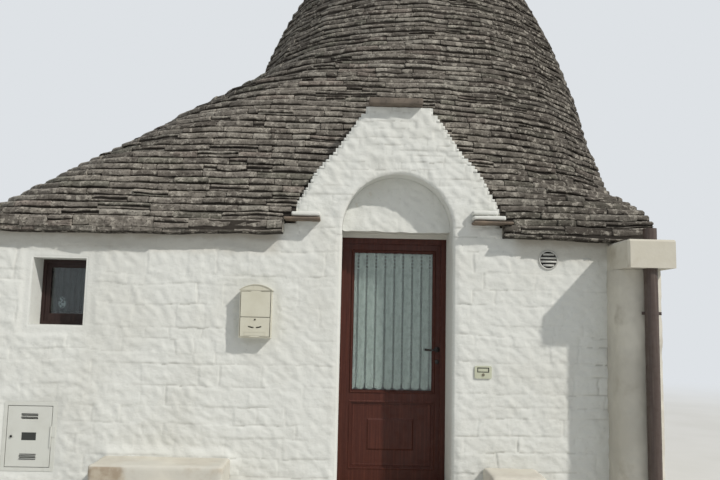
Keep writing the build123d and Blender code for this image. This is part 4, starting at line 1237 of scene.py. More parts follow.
@dataclass
class GableFace:
    """Stepped gable over the door: its limed face and the stones along its edges."""
    middle: float = -0.305
    front: float = -2.4
    low: float = 2.2
    high: float = 3.26
    spring: float = 2.255
    radius: float = 0.45
    inner: float = -2.22
    step: float = 0.0105
    teeth: int = 18
    rings: int = 34
    turns: int = 90

    def halves(self) -> list[Triple]:
        """Level range and half width of each course, read from the solid.

        Returns:
            Lower level, upper level and half width of each course.
        """
        verts = np.array([v.co[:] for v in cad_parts["gable"].data.vertices])
        course = (self.high - self.low) / self.teeth
        rows = []
        for i in range(self.teeth):
            z = self.low + i * course
            corners = verts[np.abs(verts[:, 2] - z - course) < 1e-4]
            rows.append((z, z + course, float(np.abs(corners[:, 0] - self.middle).max())))
        return rows

    def face(self, rows: list[Triple]) -> Piece:
        """Limed front between the edge stones and the arch.

        Args:
            rows: The courses, from halves.

        Returns:
            The face.
        """
        wide = rows[0][2]
        u_lines = ruled_lines(self.middle - wide, self.middle + wide, self.step, [])
        z_lines = ruled_lines(self.low, self.high, self.step, [])
        u, z = [grid.ravel() for grid in np.meshgrid(u_lines, z_lines)]
        pattern = Rubble(
            2.4, self.high, 41, course=(0.04, 0.09), stone=(0.14, 0.5), proud=(0.001, 0.006), smear=0.7,
            hewn=0.0052, fan=(2.0 + self.middle, self.spring - 0.2),
        )
        lift, joint_shade = pattern.relief(u + 2.0, z)
        under, under_joint_shade = Walls().relief_over(u, z)
        share = ease((z - self.low) / 0.30)
        lift = under * (1 - share) + lift * share
        joint_shade = under_joint_shade * (1 - share) + joint_shade * share
        du = u - self.middle
        dz = z - self.spring
        away = np.hypot(du, np.maximum(dz, 0))
        near = np.abs(away - self.radius) < self.step * 0.62
        scale = np.where(near, self.radius / np.maximum(away, 1e-6), 1.0)
        u = self.middle + du * scale
        z = np.where(dz > 0, self.spring + dz * scale, z)
        course = ((z - self.low) / (self.high - self.low) * self.teeth - 0.02).astype(int)
        half = np.array([r[2] for r in rows])[np.clip(course, 0, self.teeth - 1)]
        edge = np.minimum(np.where(near, 0, np.abs(away - self.radius)), half - 0.006 - np.abs(du))
        lift = np.where(edge <= 1e-6, -0.004, lift * ease(edge / 0.022) + 0.001)
        verts = np.column_stack([u, self.front - lift, z])
        columns = len(u_lines)
        faces = []
        for j in range(len(z_lines) - 1):
            for i in range(columns - 1):
                a = j * columns + i
                ring = (a, a + 1, a + columns + 1, a + columns)
                in_arch = any(away[k] < self.radius - 1e-6 and not near[k] for k in ring)
                past_edge = any(abs(du[k]) > half[k] - 0.004 for k in ring)
                if not (in_arch or past_edge or all(near[k] for k in ring)):
                    faces.append(ring)
        return with_joint_shade("gable_face", verts, faces, joint_shade)

    def tympanum(self) -> Piece:
        """Limed half disc above the door.

        Returns:
            The half disc.
        """
        reaches = np.linspace(0.0, self.radius - 0.002, self.rings + 1)
        angles = np.linspace(0, math.pi, self.turns + 1)
        r, t = [grid.ravel() for grid in np.meshgrid(reaches, angles, indexing="ij")]
        u = self.middle + r * np.cos(t)
        z = self.spring + 0.001 + r * np.sin(t)
        pattern = Rubble(
            2.4, self.high, 47, course=(0.07, 0.16), stone=(0.14, 0.36), proud=(0.001, 0.006), smear=0.8,
            hewn=0.0048,
        )
        lift, joint_shade = pattern.relief(u + 2.0, z)
        ragged = 0.006 * (1 + ripple(u, u * 0, 0.045, 91))
        inside = ease((self.radius - 0.004 - np.abs(u - self.middle)) / 0.02)
        z = z - ragged * (1 - ease((z - self.spring) / 0.05)) * inside
        verts = np.column_stack([u, self.inner - lift, z])
        faces = []
        across = self.turns + 1
        for a in (i * across + j for i in range(self.rings) for j in range(self.turns)):
            faces.append((a, a + across, a + across + 1, a + 1))
        return with_joint_shade("tympanum_face", verts, faces, joint_shade)

    def edge_stones(self, rows: list[Triple]) -> Piece:
        """One small limed stone at each end of every course.

        Args:
            rows: The courses, from halves.

        Returns:
            The stones as one piece.
        """
        rng = random.Random(5)
        stones = []
        for number, (low, high, half) in enumerate(rows):
            step = half - rows[min(number + 1, len(rows) - 1)][2]
            for side in (-1, 1):
                split = low + (high - low) * rng.uniform(0.42, 0.60)
                for bed, top, more in ((low, split, 0.5 * step), (split, high, 0.0)):
                    out = self.middle + side * (half + more + rng.uniform(-0.003, 0.009))
                    inner = self.middle + side * (half - rng.uniform(0.02, 0.05))
                    stones.append(rough_block(
                        f"edge_stone_{number}_{side}",
                        Vector((min(out, inner), self.front - rng.uniform(0.001, 0.006), bed - 0.003)),
                        Vector((max(out, inner), self.front + rng.uniform(0.30, 0.46), top + 0.002)),
                        0.020, 0.010, 0.005, len(stones),
                    ))
        return joined("gable_edge_stones", stones)

    def build(self, finish: Finish) -> None:
        """Builds the face and the edge stones.

        Args:
            finish: The material.
        """
        rows = self.halves()
        for piece in (self.face(rows), self.tympanum(), self.edge_stones(rows)):
            dress(piece, "house", "whitewash", finish)


# Roof

@dataclass
class Heap:
    """Corners, faces and tones, with their painted shade and light, of the slabs laid so far."""
    verts: list[Triple] = field(default_factory=list)
    faces: Faces = field(default_factory=list)
    tones_and_shading: list[tuple[float, ...]] = field(default_factory=list)

    def piece(self, name: str) -> Piece:
        """Makes one piece of all the slabs, with their tones and their painted shade and light.

        Args:
            name: Name of the piece.

        Returns:
            The piece.
        """
        obj = mesh_piece(name, self.verts, self.faces, False)
        store = obj.data.attributes.new("slab_tone_and_shade", "FLOAT_COLOR", "POINT")
        store.data.foreach_set("color", np.array(self.tones_and_shading, dtype=np.float32).ravel())
        return obj


@dataclass
class RoofCourses:
    """Courses of flat limestone slabs laid round the corbelled form."""
    solids: tuple[str, ...] = (
        "roof_skirt_front_left", "roof_skirt_front_right", "roof_skirt_back_left",
        "roof_skirt_back_right", "roof_cone_front", "roof_cone_back", "roof_cone_top",
    )
    drawn_in: tuple[str, ...] = ("roof_skirt_front_left", "roof_skirt_back_left", "roof_skirt_back_right")
    low: float = 2.2
    eaves: float = 2.28
    high: float = 6.3
    # From, to, number of steps and slabs to a step
    stretches: tuple[tuple[float, float, int, int], ...] = (
        (2.28, 3.3, 17, 1), (3.3, 4.05, 7, 2), (4.05, 5.3, 12, 2), (5.3, 6.3, 9, 2),
    )
    party: float = 1.75
    door: float = -0.305
    limits: Pair = (-3.92, 2.51)
    seed: int = 3
    tones: tuple[tuple[Tint, float], ...] = (
        (srgb(127, 121, 113), 0.42), (srgb(135, 129, 120), 0.24), (srgb(120, 117, 107), 0.12),
        (srgb(130, 121, 113), 0.06), (srgb(148, 143, 134), 0.10), (srgb(106, 100, 93), 0.06),
    )
    sag: Triple = (-1.5, 1.1, 0.022)  # The eaves hang lower left of x, over a width, by a depth
    # Room for the foot slabs: below a level, to the left and to the right of the door's middle
    feet: tuple[Triple, ...] = ((2.28, 0.918, 0.77), (2.33, 0.918, 0.918), (2.38, 0.86, 0.862))
    cap: tuple[float, ...] = (3.26, 3.335, -0.34, 0.222)  # Levels, middle and half width of the cap slab
    # Pieces and the levels that they end at
    bands: tuple[tuple[str, float], ...] = (
        ("roof_courses_low", 2.72), ("roof_courses_mid", 3.7), ("roof_courses_high", 4.75),
        ("roof_courses_top", 9.0),
    )
    station: float = 0.070  # Length of a mesh step along a slab
    nose: float = 0.007  # Length of its worn end
    painted_shading: tuple[float, ...] = (0.3, 0.16, 0.20, 0.42, 0.84, 1.0, 1.10, 1.16, 0.9)  # Painted shade and light round its section: dark at the back, on the underside and in the undercut, lighter along the top edge
    mean: Pair = (0.31, 0.13)  # Length of a slab at the eaves, and how much of it is lost higher up
    uneven: Pair = (0.4, 1.8)
    doubled: Pair = (0.045, 0.09)  # Height from which a slab may be two thin ones, and how often
    least: float = 0.03  # Shortest slab
    joint: float = 0.0015
    wander: Triple = (0.011, 0.015, 0.010)  # Rise of the beds: even, broad and fine share
    above: float = 0.0007  # Cuts are made this far above their level, to miss the solids' corners
    drawn: float = 0.022

    def triangles(self, names: tuple[str, ...]) -> Array:
        """Triangles of some solids as corner arrays.

        Args:
            names: Nodes of the frame.

        Returns:
            Three corners for each triangle.
        """
        blocks = []
        for name in names:
            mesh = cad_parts[name].data
            mesh.calc_loop_triangles()
            verts = np.array([v.co[:] for v in mesh.vertices])
            index = np.array([t.vertices[:] for t in mesh.loop_triangles])
            blocks.append(verts[index])
        return np.concatenate(blocks)

    def cut(self, tris: Array, level: float) -> Array:
        """Points where triangles cross a level.

        Args:
            tris: Triangles.
            level: The level.

        Returns:
            The crossing points in plan.
        """
        found = []
        for a, b in ((0, 1), (1, 2), (2, 0)):
            za = tris[:, a, 2] - level
            zb = tris[:, b, 2] - level
            hit = (za * zb) < 0
            share = (za[hit] / (za[hit] - zb[hit]))[:, None]
            found.append(tris[hit, a, :2] * (1 - share) + tris[hit, b, :2] * share)
        return np.concatenate(found)

    def outline(self, tris: Array, level: float) -> Line:
        """Outer line of the roof at a level, clockwise seen from above.

        Args:
            tris: Triangles of the roof.
            level: The level.

        Returns:
            The line, open along the party wall.
        """
        pts = sorted({(round(float(x), 5), round(float(y), 5)) for x, y in self.cut(tris, level)})

        def half(run: Iterable[Pair]) -> list[Pair]:
            """One side of the hull.

            Args:
                run: Points sorted by x, either way.

            Returns:
                Its corners, without the last.
            """
            chain: list[Pair] = []
            for p in run:
                while len(chain) > 1:
                    (ax, ay), (bx, by) = chain[-2:]
                    if (bx - ax) * (p[1] - ay) - (by - ay) * (p[0] - ax) <= 1e-9:
                        chain.pop()
                    else:
                        break
                chain.append(p)
            return chain[:-1]

        ring = half(pts) + half(reversed(pts))
        at_party = [i for i, p in enumerate(ring) if p[0] > self.party - 1e-3]
        if len(at_party) < 2:
            return Line([tuple(p) for p in ring], True)
        start = max(at_party, key=lambda i: ring[i][1])
        turned = ring[start:] + ring[:start]
        turned = [p for i, p in enumerate(turned) if i == 0 or p[0] <= self.party - 1e-3 or p[1] < 0]
        return Line([tuple(p) for p in turned], False)

    def blocked(self, place: Array, level: float, gable: Pair | None) -> Array:
        """Where the gable, its cap or its foot slabs take the place of slabs.

        Args:
            place: Points in plan.
            level: Level of the course.
            gable: Reach of the gable at the level.

        Returns:
            True for each point that is taken.
        """
        x, y = place[:, 0], place[:, 1]
        front = y < -1.6
        taken = np.zeros(len(x), dtype=bool)
        if gable:
            taken |= front & (x > gable[0] + 0.004) & (x < gable[1] - 0.004)
        low, high, middle, reach = self.cap
        if low <= level < high:
            taken |= front & (np.abs(x - middle) < reach)
        for top, left, right in self.feet:
            if level < top:
                taken |= front & (x > self.door - left) & (x < self.door + right)
                break
        return taken

    def rows(self, rng: random.Random) -> list[tuple[float, float, float, Pair]]:
        """Sets out the rows of slabs.

        Args:
            rng: Source of small differences.

        Returns:
            For each row its bed, height, level of its step and how proud its slabs stand.
        """
        middle = (self.low + self.eaves) / 2
        found = [
            (self.low - 0.026, 0.030, middle, (-0.008, 0.016)),
            (self.low + 0.004, self.eaves - self.low - 0.004, middle, (0.002, 0.016)),
        ]
        for low, high, count, slabs in self.stretches:
            tall = (high - low) / count
            for i in range(count):
                bed = low + i * tall
                middle = bed + tall / 2
                if slabs == 1:
                    found.append((bed, tall, middle, (0.007, 0.027)))
                else:
                    split = tall * rng.uniform(0.44, 0.56)
                    found.append((bed, split, middle, (0.014, 0.030)))
                    found.append((bed + split, tall - split, middle, (0.007, 0.014)))
        return found

    def rise(self, x: float, y: float, level: float) -> float:
        """How far the courses wander up from their level beds at a place.

        Args:
            x: Place across.
            y: Place in depth.
            level: Bed of the course.

        Returns:
            The rise in metres.
        """
        broad = noise.noise(Vector((x * 1.2, y * 1.2, level * 0.9)))
        fine = noise.noise(Vector((x * 4.2, y * 4.2, level * 6.0)))
        return max(0.0, self.wander[0] + self.wander[1] * broad + self.wander[2] * fine)

    def slab(
        self, rng: random.Random, heap: Heap, line: Line, ends: Pair, bed: float, tall: float, reach: float,
    ) -> None:
        """Lays one slab along its stretch of the course.

        Args:
            rng: Source of its small differences.
            heap: Slabs so far.
            line: Outer line of the course.
            ends: Where it starts and ends on the line.
            bed: Its underside.
            tall: Its height.
            reach: How far it stands proud of the line.
        """
        length = ends[1] - ends[0]
        steps = max(2, round(length / self.station)) + 1
        inner = self.nose + (length - 2 * self.nose) * np.linspace(0, 1, steps)
        along = np.concatenate([[0.0], inner, [length]])
        place, side = line.at(ends[0] + along)
        deep = rng.uniform(0.10, 0.16)
        notch = min(0.017, tall * rng.uniform(0.07, 0.29))
        top = tall + rng.uniform(0.0, 0.003)
        section = [
            (-deep, 0.0), (-0.040, 0.0), (-0.034, notch), (-0.004, notch + 0.001), (0.001, notch + 0.007),
            (-0.001, tall * 0.66), (-0.007, top - 0.011), (-0.022, top), (-deep, top),
        ]
        lean = rng.uniform(-0.012, 0.012)
        chips = [
            rng.uniform(0.006, 0.014) if rng.random() < 0.30 else rng.uniform(0.0, 0.005) for _ in range(2)
        ]
        shift = rng.uniform(0, 90)
        tone = rng.choices([t for t, _ in self.tones], [w for _, w in self.tones])[0]
        light = rng.uniform(0.76, 1.19)
        start = len(heap.verts)
        hang = self.sag[2] * (1 - ease((bed - self.low) / 0.05)) if bed < self.low + 0.05 else 0.0
        for i, (s, (x, y), (nx, ny)) in enumerate(zip(along, place, side)):
            at_end = i in (0, len(along) - 1)
            wave = 0.005 * noise.noise(Vector((s * 9 + shift, bed * 5, 0))) + lean * (s / length - 0.5)
            wave -= chips[i > 0] if at_end else rng.uniform(0, 0.002)
            up = self.rise(x, y, bed)
            drop = hang * float(ease((self.sag[0] - x) / self.sag[1]))
            for k, (out, high) in enumerate(section):
                hewn = 0.005 * noise.noise(Vector((s * 26 + shift, k * 2.7, 1)))
                move = out + (reach + wave + hewn if 0 < k < 8 else 0)
                lift = 0.011 * noise.noise(Vector((s * 13 + shift, k * 0.4, 5))) if 1 < k < 5 else 0
                lift += (0.002, 0.0, -0.003)[(k > 4) + (k > 5)] if at_end else 0
                level = bed + high + up + max(lift, -0.8 * notch) - (drop if k < 5 else 0)
                vx = max(x + nx * move, self.limits[0] + 0.002)
                vy = min(y + ny * move, self.limits[1] - 0.002)
                heap.verts.append((min(vx, self.party - 0.001), vy, min(level, self.high + 0.003)))
                # Painted shade and light: the slab's tone is scaled at each corner of its section
                shade = light * self.painted_shading[k]
                heap.tones_and_shading.append((*(part * shade for part in tone), 1.0))
        heap.faces += tube_faces(len(along), len(section), start, True)

    def lay(
        self, rng: random.Random, heap: Heap, line: Line, row: tuple, gable: Pair | None,
    ) -> None:
        """Lays one course.

        Args:
            rng: Source of small differences.
            heap: Slabs so far.
            line: Outer line of the course.
            row: Its bed, height, level of its step, and how proud its slabs stand.
            gable: Reach of the gable at its level.
        """
        bed, tall, _, proud = row
        s = np.linspace(0, line.length, max(50, int(line.length / 0.012)))
        place, _ = line.at(s)
        free = ~self.blocked(place, bed + tall / 2, gable)
        turns = np.flatnonzero(np.diff(np.concatenate([[0], free.astype(int), [0]])))
        share = (bed - self.low) / (self.high - self.low)
        mean = self.mean[0] - self.mean[1] * min(1.0, share * 1.7)
        for first, last in zip(turns[::2], turns[1::2] - 1):
            low, high = s[first], s[last]
            if high - low < self.least:
                continue
            pieces = max(1, round((high - low) / mean))
            widths = np.array([rng.uniform(*self.uneven) for _ in range(pieces)])
            edges = low + (high - low) * np.concatenate([[0], np.cumsum(widths) / widths.sum()])
            for a, b in zip(edges, edges[1:]):
                ends = (a + rng.uniform(0.0, self.joint), b - rng.uniform(0.0, self.joint))
                if ends[1] - ends[0] < self.least:
                    continue
                reach = rng.uniform(*proud)
                if tall > self.doubled[0] and rng.random() < self.doubled[1]:
                    part = tall * rng.uniform(0.4, 0.6)
                    self.slab(rng, heap, line, ends, bed, part, reach + rng.uniform(-0.003, 0.004))
                    self.slab(rng, heap, line, ends, bed + part, tall - part, reach)
                else:
                    self.slab(rng, heap, line, ends, bed, tall, reach)

    def build(self, finish: Finish, core: Finish) -> None:
        """Lays every course, one band of them to a piece.

        Args:
            finish: Finish of the slabs.
            core: Finish of the mass behind them, dark as painted shade in the gaps between slabs.
        """
        rng = random.Random(self.seed)
        tris = self.triangles(self.solids)
        gable_tris = self.triangles(("gable",))
        rows = self.rows(rng)
        low = 0.0
        for name, high in self.bands:
            heap = Heap()
            for row in rows:
                bed, tall, middle, _ = row
                if not low <= bed < high:
                    continue
                gable = None
                if bed < self.cap[0]:
                    level = min(max(bed, self.low) + tall / 2, self.cap[0] - 0.01)
                    found = self.cut(gable_tris, level + self.above)
                    gable = (float(found[:, 0].min()), float(found[:, 0].max()))
                self.lay(rng, heap, self.outline(tris, middle + self.above), row, gable)
            dress(heap.piece(name), "house", "roof_stone", finish)
            LOG.info("%s: %d faces", name, len(heap.faces))
            low = high
        for node in self.drawn_in:
            self.draw_in(node, core)

    def draw_in(self, node: str, core: Finish) -> None:
        """Mass behind the outermost slabs, drawn in so that the slabs lie inside the solid's reach.

        Args:
            node: The solid that it stands for.
            core: Its finish.
        """
        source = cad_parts[node].data
        left, back = self.limits[0] + self.drawn, self.limits[1] - self.drawn
        verts = [(max(v.co.x, left), min(v.co.y, back), v.co.z) for v in source.vertices]
        obj = mesh_piece(f"{node}_mass", verts, [p.vertices[:] for p in source.polygons], False)
        dress(obj, "house", "roof_stone", core)
        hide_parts(node)


# Openings and fittings

@dataclass
class StoneSeats:
    """The two seats against the front wall and the slabs of the gable."""
    layer: float = 0.045  # Height of one slab at the gable's feet
    set_back: Pair = (0.06, 0.035)  # From one of them to the next: at its end and at its front
    thin: float = 0.016  # The lowest one's front and underside are drawn in by this much
    # Length of the lowest slab, and number of slabs, on the left, -1, and on the right, 1
    lengths: dict[int, float] = field(default_factory=lambda: {-1: 0.30, 1: 0.33})
    layers: dict[int, int] = field(default_factory=lambda: {-1: 2, 1: 3})

    def stone(
        self, node: str, cell: float, wear: float, relief: float, seed: int, slot: str, finish: Finish,
    ) -> None:
        """Replaces a plain block by a hand-cut stone.

        Args:
            node: The block.
            cell: Size of the mesh cells.
            wear: Radius of the worn edges.
            relief: Depth of the hewn surface.
            seed: Which stone.
            slot: Material slot.
            finish: Its material.
        """
        low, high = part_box(node)
        obj = rough_block(f"{node}_stone", low, high, cell, wear, relief, seed)
        dress(obj, "house", slot, finish)
        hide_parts(node)

    def foot_slabs(self, white: Finish, brown: Finish) -> None:
        """Layered slabs at the feet of the gable: bare stone below, limed ones above.

        Args:
            white: Finish of the limed ones.
            brown: Finish of the bare ones.
        """
        low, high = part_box("gable_foot_slabs")
        limed, bare = [], []
        for side, count in self.layers.items():
            outer = low.x if side < 0 else high.x
            inner = outer - side * self.lengths[side]
            for number in range(count):
                out = outer - side * self.set_back[0] * number
                thin = 0.0 if number else self.thin
                front = low.y + self.set_back[1] * number + thin
                bed = low.z + self.layer * number + thin
                top = low.z + self.layer * (number + 1) - 0.001
                (limed if number else bare).append(rough_block(
                    "foot", Vector((min(out, inner), front, bed)), Vector((max(out, inner), high.y, top)),
                    0.014, 0.016, 0.010, 3 * number + side,
                ))
        for name, stones, slot, finish in (
            ("foot_slabs_bare", bare, "roof_stone", brown),
            ("foot_slabs_limed", limed, "whitewash", white),
        ):
            obj = dress(joined(name, stones), "house", slot, finish)
            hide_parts("gable_foot_slabs")

    def foot_rests(self, finish: Finish) -> None:
        """Limed masonry between the wall and the foot slabs, where the eaves stop short.

        Args:
            finish: The material.
        """
        low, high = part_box("gable_foot_slabs")
        gable_low, gable_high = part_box("gable")
        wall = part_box("front_wall_left")[1].z
        parts = []
        for side, outer, inner, seed in ((-1, low.x, gable_low.x, 31), (1, high.x, gable_high.x, 32)):
            ends = sorted((outer + side * 0.006, inner - side * 0.05))
            parts.append(rough_block(
                "foot_rest", Vector((ends[0], gable_low.y - 0.012, wall - 0.012)),
                Vector((ends[1], gable_low.y + 0.06, low.z + 0.004)), 0.014, 0.010, 0.004, seed,
            ))
        dress(joined("foot_rests", parts), "house", "whitewash", finish)

    def build(self, finishes: dict[str, Finish]) -> None:
        """Builds the stones.

        Args:
            finishes: The materials by name.
        """
        self.foot_rests(finishes["limewash_plain"])
        for node, cell, wear, relief, seed, slot, name in (
            ("left_bench", 0.022, 0.034, 0.014, 1, "seat_stone", "seat_left"),
            ("right_bench", 0.020, 0.032, 0.012, 2, "seat_stone", "seat_right"),
            ("gable_cap_slab", 0.016, 0.015, 0.008, 4, "roof_stone", "cap_slab"),
        ):
            self.stone(node, cell, wear, relief, seed, slot, finishes[name])
        self.foot_slabs(finishes["limewash_plain"], finishes["foot_stone"])


@dataclass
class Pinnacle:
    """Capstone and carved finial at the tip."""
    sides: int = 64
    wear: float = 0.018
    ball: float = 0.130
    collar: tuple[Pair, ...] = (
        (0.150, 0.333), (0.176, 0.337), (0.186, 0.346), (0.189, 0.360), (0.186, 0.374), (0.172, 0.385),
        (0.140, 0.389),
    )

    def build(self, stone: Finish, white: Finish) -> None:
        """Builds both stones over their solids.

        Args:
            stone: Finish of the capstone.
            white: Finish of the finial.
        """
        low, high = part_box("roof_capstone")
        radius = (high.x - low.x) / 2
        tall = high.z - low.z
        wear = self.wear
        edge = [(radius - wear + wear * math.cos(t), wear + wear * math.sin(t)) for t in (-1.1, -0.5, 0.0)]
        profile = [
            (radius * 0.6, 0.0), (radius - wear, 0.0), *edge, (radius, tall * 0.5),
            (radius - 0.004, tall * 0.72), (radius - wear * 1.2, tall - 0.004), (radius * 0.8, tall),
            (radius * 0.3, tall),
        ]
        cap = lathe("capstone_disc", profile, Vector((0, 0, low.z)), self.sides)
        for v in cap.data.vertices:
            out = Vector((v.co.x, v.co.y, 0))
            if out.length > radius * 0.7:
                broad, fine = (0.5 + 0.5 * noise.noise(v.co * scale) for scale in (5.0, 21))
                v.co -= out.normalized() * (0.014 * broad + 0.004 * fine)
        dress(cap, "house", "roof_stone", stone)
        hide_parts("roof_capstone")
        low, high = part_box("pinnacle")
        ball = self.ball
        centre = high.z - low.z - 0.002 - ball
        profile = [(0.124 - 0.045 * (1 - (1 - i / 10) ** 2), 0.33 * i / 10) for i in range(11)]
        profile += self.collar
        begin = math.asin((self.collar[-1][1] + 0.001 - centre) / ball)
        for i in range(17):
            turn = begin + (math.radians(87) - begin) * i / 16
            profile.append((ball * math.cos(turn), centre + ball * math.sin(turn)))
        finial = lathe("finial", profile, Vector((0, 0, low.z)), self.sides)
        for v in finial.data.vertices:
            out = Vector((v.co.x, v.co.y, 0))
            v.co -= out * (0.018 * (0.5 + 0.5 * noise.noise(v.co * 9)))
        dress(finial, "house", "whitewash", white)
        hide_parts("pinnacle")


@dataclass
class PierAndPipe:
    """Plastered corner pier with its cap, downpipe and clamp."""
    x: Pair = (1.39, 1.72)
    front: float = -2.71
    wall: float = -2.4
    rounding: float = 0.11
    top: float = 1.95
    pipe: Pair = (1.59, -2.768)
    pipe_radius: float = 0.05
    clamp_thick: float = 0.003
    rings: Pair = (2.150, 0.30)

    def build(self, plaster: Finish, metal: Finish) -> None:
        """Builds the plaster, the joints of the pipe and the screws of the clamp.

        Args:
            plaster: Finish of the pier.
            metal: Finish of the rings and screws.
        """
        r = self.rounding
        line = Line([
            (self.x[0], self.wall), *arc(self.x[0] + r, self.front + r, r, 180, 270),
            *arc(self.x[1] - r, self.front + r, r, 270, 360), (self.x[1], self.wall),
        ])
        pattern = Rubble(
            line.length, self.top, 61, course=(0.16, 0.30), stone=(0.2, 0.5), proud=(0.001, 0.005), smear=0.9,
        )
        skin = WallSkin("pier_face", line, pattern, 0, line.length, 0, self.top - 0.004, 0.014, 0.02)
        dress(skin.build(), "house", "pier_plaster", plaster)
        radius, (x, y) = self.pipe_radius, self.pipe
        ring = ((-0.001, 0), (0.0035, 0.001), (0.0045, 0.006), (0.0035, 0.011), (-0.001, 0.012))
        parts = [
            lathe("ring", [(radius + out, level + up) for out, up in ring], Vector((x, y, 0)), 40)
            for level in self.rings
        ]
        low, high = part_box("pipe_clamp")
        head = [(0.0065, 0.0), (0.0068, 0.001), (0.0060, 0.003), (0.0040, 0.0045), (0.0012, 0.005)]
        for side in (-1, 1):
            place = (
                x + side * (radius + self.clamp_thick + 0.012), y - self.clamp_thick, (low.z + high.z) / 2,
            )
            parts.append(turned_out(head, place, "head", 16))
        dress(joined("pipe_fittings", parts), "house", "brown_metal", metal)


class Net(Enum):
    """Kinds of net curtain."""
    LADDERS = "upright ladders of openwork over a scalloped hem"
    FOLDS = "plain net gathered in folds"


@dataclass
class LaceCurtain:
    """Net curtain behind a pane."""
    name: str
    node: str
    body: str
    net: Net = Net.LADDERS
    cell: float = 0.0044
    ladder: float = 0.078  # From one ladder to the next
    rung: float = 0.031
    hole: Pair = (0.0175, 0.57)  # Width, and height as a share of a rung
    fold: float = 0.0012
    pitch: float = 0.115
    scallop: float = 0.028

    def open_at(self, u: float, v: float, width: float, drop: float) -> bool:
        """Whether the net is open at a place.

        Args:
            u: Distance from the left edge.
            v: Distance from the top.
            width: Width of the curtain.
            drop: Its length.

        Returns:
            True where there is a hole.
        """
        side = (u - 0.030) % self.ladder
        if side < self.hole[0] and v < drop - 0.045 and u < width - 0.02:
            return v % self.rung < self.rung * self.hole[1]
        if side < 0.010 and u < width - 0.02:
            return v > drop - 0.036
        return False

    def build(self, finish: Finish) -> None:
        """Builds the net in place of the plain curtain.

        Args:
            finish: The material.
        """
        low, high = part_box(self.node)
        width = high.x - low.x
        drop = high.z - low.z
        cell = self.cell * 1
        columns = round(width / cell)
        rows = round(drop / cell)
        ladders = self.net is Net.LADDERS
        verts = []
        for j in range(rows + 1):
            v = drop * j / rows
            for i in range(columns + 1):
                u = width * i / columns
                hang = 0.4 + 0.6 * v / drop
                sway = 0.8 * math.sin(v * 2.1 + u * 3)
                fold = self.fold * hang * math.sin(u * 2 * math.pi / self.pitch + sway)
                end = drop
                if ladders:
                    lobe = abs(math.sin(math.pi * (u - 0.036) / self.ladder))
                    end = drop - self.scallop * (1 - lobe ** 0.6)
                z = high.z - v * end / drop
                verts.append((low.x + u, low.y + 0.004 + self.fold + fold, z))
        faces = []
        for j in range(rows):
            for i in range(columns):
                middle = (width * (i + 0.5) / columns, drop * (j + 0.5) / rows)
                if ladders and self.open_at(*middle, width, drop):
                    continue
                a = j * (columns + 1) + i
                faces.append((a, a + columns + 1, a + columns + 2, a + 1))
        obj = mesh_piece(self.name, verts, faces)
        dress(obj, self.body, "lace", finish)
        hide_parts(self.node)


def faced_outward(obj: Piece, cuts: int = 0) -> Piece:
    """Turns every face of a piece outward.

    Args:
        obj: The piece.
        cuts: Cuts made in every edge first.

    Returns:
        The same piece.
    """
    mesh = bmesh.new()
    mesh.from_mesh(obj.data)
    if cuts:
        bmesh.ops.subdivide_edges(mesh, edges=mesh.edges[:], cuts=cuts, use_grid_fill=True)
    bmesh.ops.recalc_face_normals(mesh, faces=mesh.faces[:])
    mesh.to_mesh(obj.data)
    mesh.free()
    return obj


